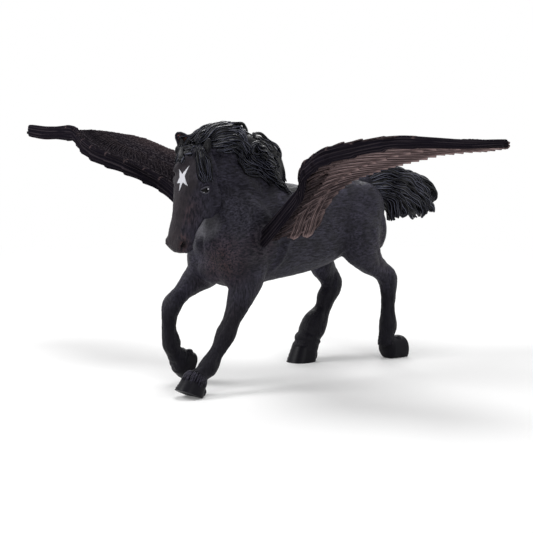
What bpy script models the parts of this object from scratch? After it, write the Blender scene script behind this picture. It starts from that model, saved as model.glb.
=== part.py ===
# Winged horse figurine: one solid moulding of a trotting horse with spread wings.
# It faces -X, its left side is -Y and it stands on three hooves at Z = 0.
import math

import bmesh
import bpy
import numpy as np
from mathutils import Vector

# Sizes and places are in millimetres, and MM turns the finished mesh into metres.
MM = 0.001

# Mesh fineness
VOXEL = 0.62
SMOOTH_PASSES = 3
FACE_BUDGET = 11400
RING_SIDES = 28
STEPS_PER_SPAN = 5

# Trunk: chest to rump along X, each line a height, half width, belly depth and back depth
BODY_HALF_WIDTH = 18.0
CHEST_X = -48.0
RUMP_X = 65.5
WITHERS_HEIGHT = 95.0
LOIN_HEIGHT = 92.5
CROUP_HEIGHT = 97.0
GIRTH_HEIGHT = 47.5
FLANK_HEIGHT = 55.0
TRUNK_MIDLINE = 70.0

# Neck and head
NECK_HALF_WIDTH = 13.0
HEAD_HALF_WIDTH = 8.8
HEAD_SHIFT = -1.5
MUZZLE_HALF_WIDTH = 5.6
EYE_RADIUS = 2.5
EAR_LENGTH = 10.5
EAR_HALF_WIDTH = 2.9
EAR_SPREAD = 7.5

# Limbs
LEG_SPACING = 13.3
CANNON_HALF_WIDTH = 3.3
JOINT_HALF_WIDTH = 4.7
HOOF_HALF_WIDTH = 5.9
HOOF_TOE = 7.0
HOOF_HEEL = 5.6
HOOF_SQUARENESS = 2.3
SOLE_TRIM = 0.5
LIMB_SQUARENESS = 2.15

# Wings
WING_SPAN = 317.0
WING_ROOT_Y = 12.0
ARM_THICKNESS = 5.2
WING_EDGE_THICKNESS = 1.5
WING_CROWN = 1.6
FEATHER_HALF_WIDTH = 6.0
FEATHER_THICKNESS = 1.7
FEATHER_STEP = 0.55
SECONDARY_COUNT = 11
PRIMARY_COUNT = 8
COVERT_COUNT = 12
COVERT_LIFT = 1.5
SHEET_ROWS_ALONG = 26
SHEET_ROWS_BACK = 9
SHEET_REACH = 0.92

# Hair
LOCK_RADIUS = 2.9
LOCK_WAVE = 1.2
LOCK_TIP = 0.3
FORELOCK_RADIUS = 2.2
FORELOCK_STEP = 4.2
TAIL_LOCK_RADIUS = 3.5
TAIL_LOCK_TIP = 0.55
TAIL_TOP_HEIGHT = 98.0

CHARCOAL = (0.018, 0.018, 0.022, 1.0)
ROUGHNESS = 0.55


def clear_scene():
    for item in list(bpy.data.objects):
        bpy.data.objects.remove(item, do_unlink=True)


def smooth_rows(rows, steps=STEPS_PER_SPAN):
    """Passes a Catmull-Rom curve through rows of numbers."""
    rows = np.array(rows, float)
    padded = np.vstack([2 * rows[0] - rows[1], rows, 2 * rows[-1] - rows[-2]])
    made = []
    for span in range(len(rows) - 1):
        a, b, c, d = padded[span : span + 4]
        for step in range(steps):
            t = step / steps
            made.append(
                0.5 * (2 * b + (c - a) * t + (2 * a - 5 * b + 4 * c - d) * t * t)
                + 0.5 * (3 * b - a - 3 * c + d) * t**3
            )
    made.append(rows[-1])
    return np.array(made)


def read_curve(rows, place):
    """Reads the smoothed rows at a place from 0 to 1 along them."""
    curve = smooth_rows(rows, 8)
    at = np.clip(place, 0, 1) * (len(curve) - 1)
    return np.array([np.interp(at, np.arange(len(curve)), column) for column in curve.T])


def ring_points(centre, across, depth_axis, sizes, power, egg, sides=RING_SIDES):
    """One closed ring: half width across, and its own depth to the front and to the back."""
    half_width, front, back = sizes
    points = []
    for turn in range(sides):
        angle = math.tau * turn / sides
        c, s = math.cos(angle), math.sin(angle)
        wide = half_width * (1 + egg * s) * math.copysign(abs(c) ** (2 / power), c)
        depth = (front if s > 0 else back) * math.copysign(abs(s) ** (2 / power), s)
        points.append(centre + across * wide + depth_axis * depth)
    return points


def skin_rings(bm, rings):
    """Joins rings of equal length into one closed tube with a fan at each end."""
    rows = [[bm.verts.new(Vector(point)) for point in ring] for ring in rings]
    count = len(rows[0])
    for lower, upper in zip(rows, rows[1:]):
        for i in range(count):
            j = (i + 1) % count
            bm.faces.new((lower[i], lower[j], upper[j], upper[i]))
    for row, flip in ((rows[0], True), (rows[-1], False)):
        middle = bm.verts.new(sum((v.co for v in row), Vector()) / count)
        for i in range(count):
            j = (i + 1) % count
            corner = (row[j], row[i], middle) if flip else (row[i], row[j], middle)
            bm.faces.new(corner)


def loft(bm, stations, power=2.2, egg=0.0, sides=RING_SIDES, side_axis=(0, 1, 0)):
    """A limb-like tube. A station is x, y, z, half width, front depth and back depth."""
    rows = smooth_rows(stations)
    centres = rows[:, :3]
    tangents = np.gradient(centres, axis=0)
    rings = []
    for centre, tangent, sizes in zip(centres, tangents, rows[:, 3:6]):
        tangent = tangent / np.linalg.norm(tangent)
        across = np.array(side_axis, float)
        across -= tangent * across.dot(tangent)
        across /= np.linalg.norm(across)
        depth_axis = np.cross(across, tangent)
        rings.append(ring_points(centre, across, depth_axis, sizes, power, egg, sides))
    skin_rings(bm, rings)


def blob(bm, centre, radii, lean=0.0):
    """A muscle: an ellipsoid, leant about the Y axis by an angle in degrees."""
    made = bmesh.ops.create_icosphere(bm, subdivisions=3, radius=1.0)["verts"]
    turn = math.radians(lean)
    for vert in made:
        x, y, z = (vert.co[k] * radii[k] for k in range(3))
        vert.co = Vector(
            (
                centre[0] + x * math.cos(turn) + z * math.sin(turn),
                centre[1] + y,
                centre[2] - x * math.sin(turn) + z * math.cos(turn),
            )
        )


def trunk(bm):
    width = BODY_HALF_WIDTH
    belly = TRUNK_MIDLINE - GIRTH_HEIGHT
    loft(
        bm,
        [
            (CHEST_X, 0, 62, 6.0, 8, 7),
            (CHEST_X + 5, 0, 64, 0.72 * width, 16, 14),
            (-30, 0, 67, 0.95 * width, belly - 1, 22),
            (-12, 0, TRUNK_MIDLINE, width, belly, WITHERS_HEIGHT - TRUNK_MIDLINE),
            (5, 0, TRUNK_MIDLINE, width, belly - 1, WITHERS_HEIGHT - TRUNK_MIDLINE),
            (22, 0, TRUNK_MIDLINE, width, belly - 3, LOIN_HEIGHT - TRUNK_MIDLINE),
            (37, 0, 74, 0.95 * width, 74 - FLANK_HEIGHT, CROUP_HEIGHT - 75.5),
            (51, 0, 77, 0.96 * width, 18, CROUP_HEIGHT - 77),
            (RUMP_X - 6, 0, 78, 0.8 * width, 16, 15.5),
            (RUMP_X, 0, 78, 0.42 * width, 9, 8),
        ],
        power=2.25,
    )
    for side in (-1, 1):
        blob(bm, (-36, side * 9.5, 62), (12, 9.5, 15), 12)
        blob(bm, (-22, side * 10.5, 72), (10, 8.5, 19), -28)
        blob(bm, (54, side * 8.5, 79), (14, 10.5, 15), 20)
        blob(bm, (60, side * 9.5, 70), (9, 8.5, 14), -8)
    blob(bm, (CHEST_X + 5, 0, 58), (6, 9, 9))


def neck(bm):
    width = NECK_HALF_WIDTH
    loft(
        bm,
        [
            (-46, HEAD_SHIFT, 106, 0.5 * width, 8, 9),
            (-40, HEAD_SHIFT, 103, 0.62 * width, 11, 12.5),
            (-32, 0.5 * HEAD_SHIFT, 96, 0.8 * width, 15.5, 14.5),
            (-26, 0, 86, width, 20, 17),
            (-20, 0, 76, 1.22 * width, 25, 18),
            (-14, 0, 66, 1.2 * width, 22, 16),
        ],
        power=2.05,
        egg=0.14,
    )
    crest = [
        (-42, HEAD_SHIFT, 110, 4.5, 6, 5),
        (-30, -0.5, 105, 7.5, 8, 6),
        (-18, 0, 98.5, 9, 9, 7),
        (-8, 0, 92, 9.5, 9, 6.5),
        (3, 0, 87.5, 8, 7, 5),
    ]
    loft(bm, crest)


def head(bm):
    width = HEAD_HALF_WIDTH
    muzzle = MUZZLE_HALF_WIDTH
    y = HEAD_SHIFT
    loft(
        bm,
        [
            (-48.5, y, 112, 0.45 * width, 3.5, 5),
            (-51.5, y, 108.5, 0.72 * width, 7, 8),
            (-54.5, y, 103.5, 0.9 * width, 8.4, 9.5),
            (-56.3, y, 97, 0.98 * width, 9.2, 11),
            (-57.8, y, 90, 0.86 * width, 9.2, 11.5),
            (-60.3, y, 83, 0.66 * width, 8.2, 8.5),
            (-63, y, 76.5, 0.92 * muzzle, 7, 6.2),
            (-64.8, y, 71.5, muzzle, 6.2, 6),
            (-65.8, y, 67.8, 0.86 * muzzle, 4.4, 4.6),
            (-66.2, y, 65.8, 0.45 * muzzle, 2.2, 2.4),
        ],
        power=2.35,
        egg=-0.1,
    )
    blob(bm, (-61.2, y, 67.8), (3.2, 3.4, 2.6), 20)
    for side in (-1, 1):
        blob(bm, (-51.5, y + side * 0.58 * width, 89.5), (7.6, 3.6, 8.6), 18)
        blob(bm, (-59.2, y + side * 0.74 * width, 98.8), (3.4, 2.6, 2.6), 15)
        blob(bm, (-57.6, y + side * 0.84 * width, 95.6), (EYE_RADIUS, 1.9, EYE_RADIUS))
        blob(bm, (-68.4, y + side * 0.62 * muzzle, 71.2), (2.2, 1.9, 2.9), 15)
        ear(bm, side)


def ear(bm, side):
    x, y, z = -55.4, HEAD_SHIFT + side * EAR_SPREAD, 108.5
    wide = EAR_HALF_WIDTH
    long = EAR_LENGTH
    loft(
        bm,
        [
            (x + 1, y - side * 1.5, z - 2.5, 0.9 * wide, 2, 2),
            (x - 0.6, y + side * 0.8, z + 0.35 * long, wide, 1.6, 1.6),
            (x - 0.4, y + side * 1.6, z + 0.75 * long, 0.72 * wide, 1.3, 1.3),
            (x + 0.4, y + side * 2.0, z + long, 0.24 * wide, 0.6, 0.6),
        ],
        sides=14,
    )


def hoof(bm, coronet, sole, toe_axis):
    """A hoof whose rings lie parallel to its sole, from the coronet to the sole."""
    across = np.array((0.0, 1.0, 0.0))
    toe_axis = np.array(toe_axis, float)
    toe_axis /= np.linalg.norm(toe_axis)
    coronet, sole = np.array(coronet, float), np.array(sole, float)
    rings = []
    for share, grow in ((-0.22, 0.55), (0.0, 0.8), (0.16, 0.86), (0.55, 0.93), (1.0, 1.0)):
        centre = coronet + (sole - coronet) * share
        sizes = (HOOF_HALF_WIDTH * grow, HOOF_TOE * grow, HOOF_HEEL * grow)
        rings.append(ring_points(centre, across, toe_axis, sizes, HOOF_SQUARENESS, 0.0))
    skin_rings(bm, rings)
    normal = (coronet - sole) / np.linalg.norm(coronet - sole)
    heel = sole - toe_axis * (HOOF_HEEL - 1.6) + normal * 3.2
    for side in (-1, 1):
        blob(bm, tuple(heel + across * side * 2.4), (2.6, 2.6, 2.8))


def fore_leg(bm, y, joints):
    """Joints are x, z pairs: shoulder, elbow, forearm, knee, cannon, fetlock, pastern."""
    thin = CANNON_HALF_WIDTH
    thick = JOINT_HALF_WIDTH
    sizes = [
        (8.0, 12.0, 12.0),
        (7.2, 9.5, 9.5),
        (5.6, 6.6, 6.6),
        (1.18 * thin, 4.4, 4.4),
        (thick, 5.0, 4.6),
        (thin + 0.3, 3.9, 4.0),
        (thin, 3.5, 3.8),
        (0.92 * thick, 4.2, 5.2),
        (1.1 * thin, 3.7, 3.9),
        (thick, 4.6, 4.4),
    ]
    stations = []
    for (x, z, inward), size in zip(joints, sizes):
        stations.append((x, y - math.copysign(inward, y), z, *size))
    loft(bm, stations, power=LIMB_SQUARENESS)


def hind_leg(bm, y, joints):
    thin = CANNON_HALF_WIDTH
    thick = JOINT_HALF_WIDTH
    sizes = [
        (8.0, 17.0, 15.0),
        (8.6, 14.5, 13.0),
        (6.6, 8.2, 7.8),
        (1.25 * thin, 5.2, 5.6),
        (1.02 * thick, 5.0, 6.2),
        (1.15 * thin, 4.2, 4.5),
        (1.05 * thin, 3.8, 4.0),
        (thick, 4.4, 5.4),
        (1.12 * thin, 3.8, 4.0),
        (thick, 4.6, 4.4),
    ]
    stations = []
    for (x, z, inward), size in zip(joints, sizes):
        stations.append((x, y - math.copysign(inward, y), z, *size))
    loft(bm, stations, power=LIMB_SQUARENESS)


def legs(bm):
    y = LEG_SPACING
    fore_leg(
        bm,
        -y,
        [
            (-28, 68, 4), (-32, 54, 1), (-38, 43, 0), (-43.5, 33.5, 0), (-47.2, 27.2, 0),
            (-51, 22.2, 0), (-54.2, 18.6, 0), (-59, 13.4, 0), (-62.5, 11, 0), (-65.3, 9.2, 0),
        ],
    )
    hoof(bm, (-66.8, -y, 7.8), (-70.6, -y, 1.9), (-0.91, 0, 0.42))
    fore_leg(
        bm,
        y,
        [
            (-28, 68, 4), (-34.5, 55.5, 1), (-43, 49.5, 0), (-51, 44.2, 0), (-56.8, 39.2, 0),
            (-58.8, 33.5, 0), (-59, 28, 0), (-57.8, 20.5, 0), (-56.2, 17, 0), (-54, 14.2, 0),
        ],
    )
    hoof(bm, (-53.2, y, 13.0), (-47.6, y, 10.0), (-0.42, 0, -0.91))
    hind_leg(
        bm,
        -y,
        [
            (50, 79, 3), (47, 66, 0), (54.5, 54.5, 0), (63.5, 48, 0), (69.5, 42.6, 0),
            (70.6, 35, 0), (70.4, 27, 0), (70.4, 17.6, 0), (69.6, 12.6, 0), (70.2, 8.4, 0),
        ],
    )
    hoof(bm, (72.6, -y, 6.6), (79.6, -y, 5.6), (0.1, 0, -1.0))
    hind_leg(
        bm,
        y,
        [
            (49, 79, 3), (44, 65, 0), (46.5, 54, 0), (52.5, 46, 0), (56.2, 38.6, 0),
            (52.6, 31.5, 0), (48.2, 25, 0), (41.4, 17.2, 0), (38.6, 13, 0), (36.6, 9.8, 0),
        ],
    )
    hoof(bm, (35.8, y, 8.6), (32.4, y, 0.0), (-1.0, 0, 0.0))


# Wing edges from root to tip: x, distance from the middle, z of the upper front edge and its depth
LEADING_EDGE = [
    (-30, WING_ROOT_Y, 70, 11),
    (-31, 26, 81, 9.5),
    (-32, 37, 90, 8),
    (-34.5, 46, 96.5, 7.2),
    (-41, 53.5, 102, 7),
    (-49, 62, 107.2, 7),
    (-55, 72, 111.3, 7),
    (-56, 81, 115.3, 6.8),
    (-50, 93, 118.3, 6.2),
    (-42, 107, 120.5, 5),
    (-37.5, 124, 120, 4),
    (-35, 141, 119.3, 3.2),
    (-33, WING_SPAN / 2, 119.8, 2.4),
]

# Feather tips from root to tip, each across the wing from the same row above
TRAILING_EDGE = [
    (-2, WING_ROOT_Y, 66),
    (4.5, 21.5, 73),
    (7, 27, 83),
    (6.5, 35, 92),
    (6, 46, 98.7),
    (6, 58, 102.5),
    (6, 70, 105.8),
    (6, 82, 108.2),
    (7, 97, 111.7),
    (9, 113, 115),
    (9, 127, 117),
    (-6, 141, 119),
    (-32, WING_SPAN / 2, 119.5),
]
REAR_CORNER = 11


def wing_height(x, y):
    """Height of the wing's middle sheet over a point at a distance y from the middle."""
    lead = smooth_rows([row[:3] for row in LEADING_EDGE], 6)
    trail = smooth_rows(TRAILING_EDGE[:REAR_CORNER], 6)
    front_x = np.interp(y, lead[:, 1], lead[:, 0])
    front_z = np.interp(y, lead[:, 1], lead[:, 2])
    depth = np.interp(y, [row[1] for row in LEADING_EDGE], [row[3] for row in LEADING_EDGE])
    back_x = np.interp(y, trail[:, 1], trail[:, 0])
    back_z = np.interp(y, trail[:, 1], trail[:, 2])
    share = np.clip((x - front_x) / (back_x - front_x), 0, 1.15)
    crown = WING_CROWN * math.sin(math.pi * min(share, 1)) * min(1, (y - WING_ROOT_Y) / 40)
    return front_z - 0.35 * depth * (1 - share) + (back_z - front_z) * share + crown


def front_edge(place):
    """The wing's front edge at a place from 0 at its root to 1 at its tip."""
    return read_curve([row[:3] for row in LEADING_EDGE], place)


def wing_arm(bm, side):
    """The thick front edge of the wing, from inside the shoulder to the tip."""
    stations = []
    for x, y, z, depth in LEADING_EDGE:
        wide = 0.5 * ARM_THICKNESS * (0.35 + 0.65 * depth / LEADING_EDGE[0][3])
        high = 0.5 * depth
        stations.append((x + wide, side * y, z - high, wide, high, high))
    loft(bm, stations, power=2.4, sides=16, side_axis=(1, 0, 0))


def wing_sheet(bm, side):
    """The web of the wing between its front edge and just short of the feather tips."""
    extra = ARM_THICKNESS - 1 - WING_EDGE_THICKNESS
    upper, lower = [], []
    for i in range(SHEET_ROWS_ALONG):
        place = i / (SHEET_ROWS_ALONG - 1)
        front = front_edge(place)
        rear = read_curve(TRAILING_EDGE, place)
        top_row, low_row = [], []
        for j in range(SHEET_ROWS_BACK):
            share = j / (SHEET_ROWS_BACK - 1)
            x, y, _ = front + (rear - front) * (0.04 + (SHEET_REACH - 0.04) * share)
            z = wing_height(x, y)
            half = 0.5 * (WING_EDGE_THICKNESS + extra * (1 - share) ** 2)
            top_row.append(bm.verts.new((x, side * y, z + half)))
            low_row.append(bm.verts.new((x, side * y, z - half)))
        upper.append(top_row)
        lower.append(low_row)
    join_sheets(bm, upper, lower)


def join_sheets(bm, upper, lower):
    """Faces of two grids of equal size, and of the rim between them."""
    last_i, last_j = len(upper) - 1, len(upper[0]) - 1
    for i in range(last_i):
        for j in range(last_j):
            bm.faces.new((upper[i][j], upper[i][j + 1], upper[i + 1][j + 1], upper[i + 1][j]))
            bm.faces.new((lower[i][j], lower[i + 1][j], lower[i + 1][j + 1], lower[i][j + 1]))
        bm.faces.new((upper[i][0], upper[i + 1][0], lower[i + 1][0], lower[i][0]))
        bm.faces.new((lower[i][last_j], lower[i + 1][last_j], upper[i + 1][last_j], upper[i][last_j]))
    for j in range(last_j):
        bm.faces.new((lower[0][j], lower[0][j + 1], upper[0][j + 1], upper[0][j]))
        bm.faces.new((upper[last_i][j], upper[last_i][j + 1], lower[last_i][j + 1], lower[last_i][j]))


# Share of a feather's length, and share of its half width there
FEATHER_OUTLINE = ((0, 0.6), (0.35, 0.9), (0.7, 1.0), (0.87, 0.9), (0.96, 0.6), (1.0, 0.2))


def feather(bm, side, start, end, half_width, lift, bend):
    """One blade that follows the wing's sheet from start to end, both x and distance out."""
    start, end = np.array(start, float), np.array(end, float)
    along = end - start
    sideways = np.array((-along[1], along[0])) / np.linalg.norm(along)
    stations = []
    for share, wide in FEATHER_OUTLINE:
        spot = start + along * share + sideways * bend * math.sin(math.pi * share)
        z = wing_height(spot[0], spot[1]) + lift * (0.35 + 0.65 * share)
        thick = 0.5 * FEATHER_THICKNESS * (1 - 0.35 * share)
        stations.append((spot[0], side * spot[1], z, half_width * wide, thick, thick))
    axis = np.array((sideways[0], side * sideways[1], 0.0))
    loft(bm, stations, power=2.0, sides=10, side_axis=tuple(axis))


def wing(bm, side):
    wing_arm(bm, side)
    wing_sheet(bm, side)
    for index in range(SECONDARY_COUNT):
        share = index / (SECONDARY_COUNT - 1)
        tip = read_curve(TRAILING_EDGE, 0.13 + 0.6 * share)
        root = front_edge(0.16 + 0.4 * share)
        start = root[:2] + (tip[:2] - root[:2]) * 0.4
        lift = FEATHER_STEP * (1 if index % 2 else -0.6)
        feather(bm, side, start, tip[:2], FEATHER_HALF_WIDTH, lift, 1.5)
    for index in range(PRIMARY_COUNT):
        share = index / (PRIMARY_COUNT - 1)
        tip = read_curve(TRAILING_EDGE, 0.78 + 0.22 * share)
        start = np.array((-34.0 - 3.0 * share, 100.0 + 12.0 * share))
        lift = FEATHER_STEP * (1 if index % 2 else -0.6)
        feather(bm, side, start, tip[:2], 0.72 * FEATHER_HALF_WIDTH, lift, 2.0 * (1 - share))
    for index in range(COVERT_COUNT):
        share = index / (COVERT_COUNT - 1)
        rear = read_curve(TRAILING_EDGE, 0.12 + 0.72 * share)
        root = front_edge(0.14 + 0.62 * share)
        start = root[:2] + (rear[:2] - root[:2]) * 0.12
        end = root[:2] + (rear[:2] - root[:2]) * 0.56
        for lift in (COVERT_LIFT, -COVERT_LIFT):
            feather(bm, side, start, end, 0.95 * FEATHER_HALF_WIDTH, lift, 1.0)


def lock(bm, route, radius, tip=LOCK_TIP, wave=LOCK_WAVE, turns=1.5, phase=0.0):
    """A tapered wavy strand of hair through the points of its route."""
    curve = smooth_rows(route, 4)
    stations = []
    for index, (x, y, z) in enumerate(curve):
        share = index / (len(curve) - 1)
        swing = wave * math.sin(math.tau * turns * share + phase)
        fullness = 0.6 + 0.4 * math.sin(math.pi * min(1.0, 0.18 + 0.82 * share))
        size = radius * fullness * (1 - (1 - tip) * share**3)
        stations.append((x, y + 0.7 * swing, z + swing, size, 0.8 * size, 0.8 * size))
    loft(bm, stations[::2], power=2.0, sides=10)


# The mane's middle line from the poll to the withers: x and z
CREST = ((-52, 112.5), (-42, 119), (-31, 120), (-17, 113.5), (-6, 105.5), (3, 96.5))

# Mane strands from the crest down: distance out, drop and share of the crest's length
MANE_STRANDS = (
    (0.0, -1.6, 1.0),
    (4.2, 0.2, 0.96),
    (7.2, 4.6, 0.9),
    (8.4, 9.6, 0.84),
    (8.2, 15.0, 0.76),
)

# Tail strand ends: x, y and z
TAIL_ENDS = (
    (113, -6, 84.5),
    (112, -10, 80.5),
    (110.5, -3, 77),
    (107, -9.5, 74.5),
    (103, -4, 73),
    (98.5, -9.5, 74),
    (94, -4, 73.5),
    (89, -9, 73),
    (84, -5, 72.8),
    (111, 0, 87),
    (105, 1.5, 80),
    (96, 1, 76),
)


def mane(bm):
    loft(
        bm,
        [
            (-51, HEAD_SHIFT, 110.5, 4, 4, 3),
            (-43, HEAD_SHIFT, 114, 6, 6, 5.5),
            (-32, -0.8, 113.5, 7, 9, 6.5),
            (-20, -0.5, 108.5, 7.2, 10, 7),
            (-10, -0.5, 101.5, 5.5, 9, 6),
            (-2, -0.5, 96.5, 3.5, 6, 4),
            (4, -0.5, 93, 2, 2, 2),
        ],
    )
    for index, (out, drop, reach) in enumerate(MANE_STRANDS):
        for side in (-1, 1):
            route = []
            for number, (x, z) in enumerate(CREST):
                share = number / (len(CREST) - 1)
                y = HEAD_SHIFT + side * out * math.sin(math.pi * min(1, 0.25 + 0.75 * share))
                route.append((x * reach - 4 * (1 - reach), y, z - drop * (0.4 + 0.5 * share)))
            lock(bm, route, LOCK_RADIUS, turns=1.8, phase=0.9 * index + side)


def forelock(bm):
    """Two strands down each temple and one swept over the forehead."""
    y = HEAD_SHIFT
    for side in (-1, 1):
        for shift in (0, FORELOCK_STEP):
            route = [
                (-51.5 - shift, y + side * 3.5, 113),
                (-53 - shift, y + side * 7.8, 108),
                (-51 - shift, y + side * 9.8, 103),
                (-48 - shift, y + side * 10.4, 97.5),
            ]
            lock(bm, route, FORELOCK_RADIUS, wave=0.5)
    swept = [(-50, y - 1, 114), (-58.5, y - 1.5, 111.5), (-63.5, y + 2, 106), (-64, y + 6, 102)]
    lock(bm, swept, 1.1 * FORELOCK_RADIUS, wave=0.3)


def tail(bm):
    loft(
        bm,
        [
            (57, 0, 90, 4, 4, 4),
            (66, -1, 93, 4.6, 4.2, 4.2),
            (77, -2, 91.5, 5.5, 6, 4.5),
            (90, -3, 86.5, 6, 8, 6),
            (101, -4.5, 82.5, 5.5, 7, 6.5),
            (107, -5.5, 81, 4, 5, 4.5),
        ],
    )
    end_x = TAIL_ENDS[0][0]
    for index, (x, y, z) in enumerate(TAIL_ENDS):
        span = x - 62
        high = TAIL_TOP_HEIGHT - 0.1 * (end_x - x)
        route = [
            (61, 0, 91.5),
            (62 + 0.33 * span, 0.35 * y, high),
            (62 + 0.78 * span, 0.9 * y, 0.55 * high + 0.45 * z),
            (x, y, z),
        ]
        lock(bm, route, TAIL_LOCK_RADIUS, tip=TAIL_LOCK_TIP, wave=0.9, phase=0.8 * index)


def cut_soles(bm):
    """Trims the planted hooves flat, closes each cut and sets the figure on the ground."""
    geometry = bm.verts[:] + bm.edges[:] + bm.faces[:]
    ground = (0, 0, SOLE_TRIM)
    bmesh.ops.bisect_plane(
        bm, geom=geometry, dist=1e-4, plane_co=ground, plane_no=(0, 0, 1), clear_inner=True
    )
    open_edges = [edge for edge in bm.edges if edge.is_boundary]
    bmesh.ops.holes_fill(bm, edges=open_edges, sides=0)
    bmesh.ops.triangulate(bm, faces=[face for face in bm.faces if len(face.verts) > 3])
    bmesh.ops.translate(bm, verts=bm.verts, vec=(0, 0, -SOLE_TRIM))


def figurine_mesh():
    bm = bmesh.new()
    trunk(bm)
    neck(bm)
    head(bm)
    legs(bm)
    for side in (-1, 1):
        wing(bm, side)
    mane(bm)
    forelock(bm)
    tail(bm)
    bmesh.ops.recalc_face_normals(bm, faces=bm.faces)
    mesh = bpy.data.meshes.new("pegasus")
    bm.to_mesh(mesh)
    bm.free()
    return mesh


def evaluated_mesh(item, name):
    graph = bpy.context.evaluated_depsgraph_get()
    made = bpy.data.meshes.new_from_object(item.evaluated_get(graph))
    made.name = name
    item.modifiers.clear()
    item.data = made


def merge_into_one(item):
    """Unites the overlapping forms, softens the joints and thins the mesh to its budget."""
    remesh = item.modifiers.new("Unite", "REMESH")
    remesh.mode = "VOXEL"
    remesh.voxel_size = VOXEL
    remesh.adaptivity = 0.0
    smooth = item.modifiers.new("Soften", "SMOOTH")
    smooth.factor = 0.5
    smooth.iterations = SMOOTH_PASSES
    evaluated_mesh(item, "united")
    thin = item.modifiers.new("Thin", "DECIMATE")
    thin.ratio = FACE_BUDGET / (2 * len(item.data.polygons))
    thin.use_collapse_triangulate = True
    evaluated_mesh(item, "thinned")


def keep_largest_body(bm):
    """Drops crumbs that the remesh leaves apart from the figure."""
    left = set(bm.verts)
    bodies = []
    while left:
        seed = left.pop()
        body = [seed]
        waiting = [seed]
        while waiting:
            near = {vert for edge in waiting.pop().link_edges for vert in edge.verts}
            new = near & left
            left -= new
            body.extend(new)
            waiting.extend(new)
        bodies.append(body)
    bodies.sort(key=len)
    crumbs = [vert for body in bodies[:-1] for vert in body]
    bmesh.ops.delete(bm, geom=crumbs, context="VERTS")


def finish_mesh(item):
    """Flat soles, then the origin under the middle of the figure's box, in metres."""
    bm = bmesh.new()
    bm.from_mesh(item.data)
    keep_largest_body(bm)
    cut_soles(bm)
    keep_largest_body(bm)
    points = np.array([vert.co for vert in bm.verts])
    middle = 0.5 * (points.min(axis=0) + points.max(axis=0))
    for vert in bm.verts:
        vert.co = Vector((vert.co.x - middle[0], vert.co.y - middle[1], vert.co.z)) * MM
    bmesh.ops.recalc_face_normals(bm, faces=bm.faces)
    bm.to_mesh(item.data)
    bm.free()
    item.data.shade_smooth()
    print("figure", len(item.data.polygons), "faces, middle", middle.round(3))


def plastic():
    material = bpy.data.materials.new("charcoal plastic")
    material.use_nodes = True
    shader = material.node_tree.nodes["Principled BSDF"]
    shader.inputs["Base Color"].default_value = CHARCOAL
    shader.inputs["Roughness"].default_value = ROUGHNESS
    shader.inputs["Metallic"].default_value = 0.0
    return material


def main():
    clear_scene()
    figure = bpy.data.objects.new("pegasus", figurine_mesh())
    bpy.context.scene.collection.objects.link(figure)
    merge_into_one(figure)
    finish_mesh(figure)
    figure.data.materials.clear()
    figure.data.materials.append(plastic())


main()
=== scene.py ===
import math
import bpy
import numpy as np
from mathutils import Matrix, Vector
from mathutils.bvhtree import BVHTree


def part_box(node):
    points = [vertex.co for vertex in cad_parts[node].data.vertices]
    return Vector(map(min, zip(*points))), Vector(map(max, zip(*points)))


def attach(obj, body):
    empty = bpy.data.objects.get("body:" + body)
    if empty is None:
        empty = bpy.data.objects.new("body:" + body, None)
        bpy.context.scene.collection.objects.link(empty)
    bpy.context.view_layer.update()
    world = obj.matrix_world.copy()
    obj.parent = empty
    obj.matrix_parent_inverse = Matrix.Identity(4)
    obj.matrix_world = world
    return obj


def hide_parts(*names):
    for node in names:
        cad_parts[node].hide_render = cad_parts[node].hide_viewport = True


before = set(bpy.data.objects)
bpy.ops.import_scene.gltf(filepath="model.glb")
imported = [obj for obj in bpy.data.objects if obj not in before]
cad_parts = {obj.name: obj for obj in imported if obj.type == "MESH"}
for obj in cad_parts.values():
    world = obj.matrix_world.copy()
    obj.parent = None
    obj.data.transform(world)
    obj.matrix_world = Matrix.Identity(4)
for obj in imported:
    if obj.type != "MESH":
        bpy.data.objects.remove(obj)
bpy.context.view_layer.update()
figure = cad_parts["pegasus"]
bodyName = "root"

# Places on the horse are in millimetres: X towards the tail, Y to its right, Z up from the ground
horseSettings = {
    "muzzleTip": -76.6,   # x of the foremost point of the muzzle, which ties the horse to the frame
    "sideShift": 0.08,
    "soleTrim": 0.5,      # the hooves are cut this much above the modelled ground
    "headShift": -1.5,    # the head leans this far to the left
}
cameraSettings = {
    "place": (-504.2, -486.9, 136.1),
    "aim": (-3.8, 2.9, 53.9),
    "lens": 96.7,
}
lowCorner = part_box("pegasus")[0]
horseOrigin = np.array([lowCorner.x * 1000 - horseSettings["muzzleTip"], -horseSettings["sideShift"],
                        -horseSettings["soleTrim"]])


def toFrame(points):
    return (np.asarray(points, float) + horseOrigin) * 0.001


def toHorse(points):
    return np.asarray(points, float) * 1000 - horseOrigin


def unit(vector):
    return vector / np.linalg.norm(vector)


def rowLengths(vectors):
    return np.linalg.norm(vectors, axis=1)


def ramp(values, start, end):
    # From 0 at the start to 1 at the end, which may be the lower of the two
    return np.clip((values - start) / (end - start), 0, 1)


def squareUp(wave, power):
    # Makes a round section squarer
    return np.sign(wave) * np.abs(wave) ** power


def selectOnly(*items):
    bpy.ops.object.select_all(action="DESELECT")
    for item in items:
        item.select_set(True)
    bpy.context.view_layer.objects.active = items[-1]


def joinPieces(items, name):
    selectOnly(*items)
    bpy.ops.object.join()
    joined = bpy.context.object
    joined.name = name
    return joined


def addModifier(item, kind, **values):
    modifier = item.modifiers.new(kind.title(), kind)
    for key, value in values.items():
        setattr(modifier, key, value)
    return modifier


def applyModifiers(item):
    selectOnly(item)
    for modifier in list(item.modifiers):
        bpy.ops.object.modifier_apply(modifier=modifier.name)


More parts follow.
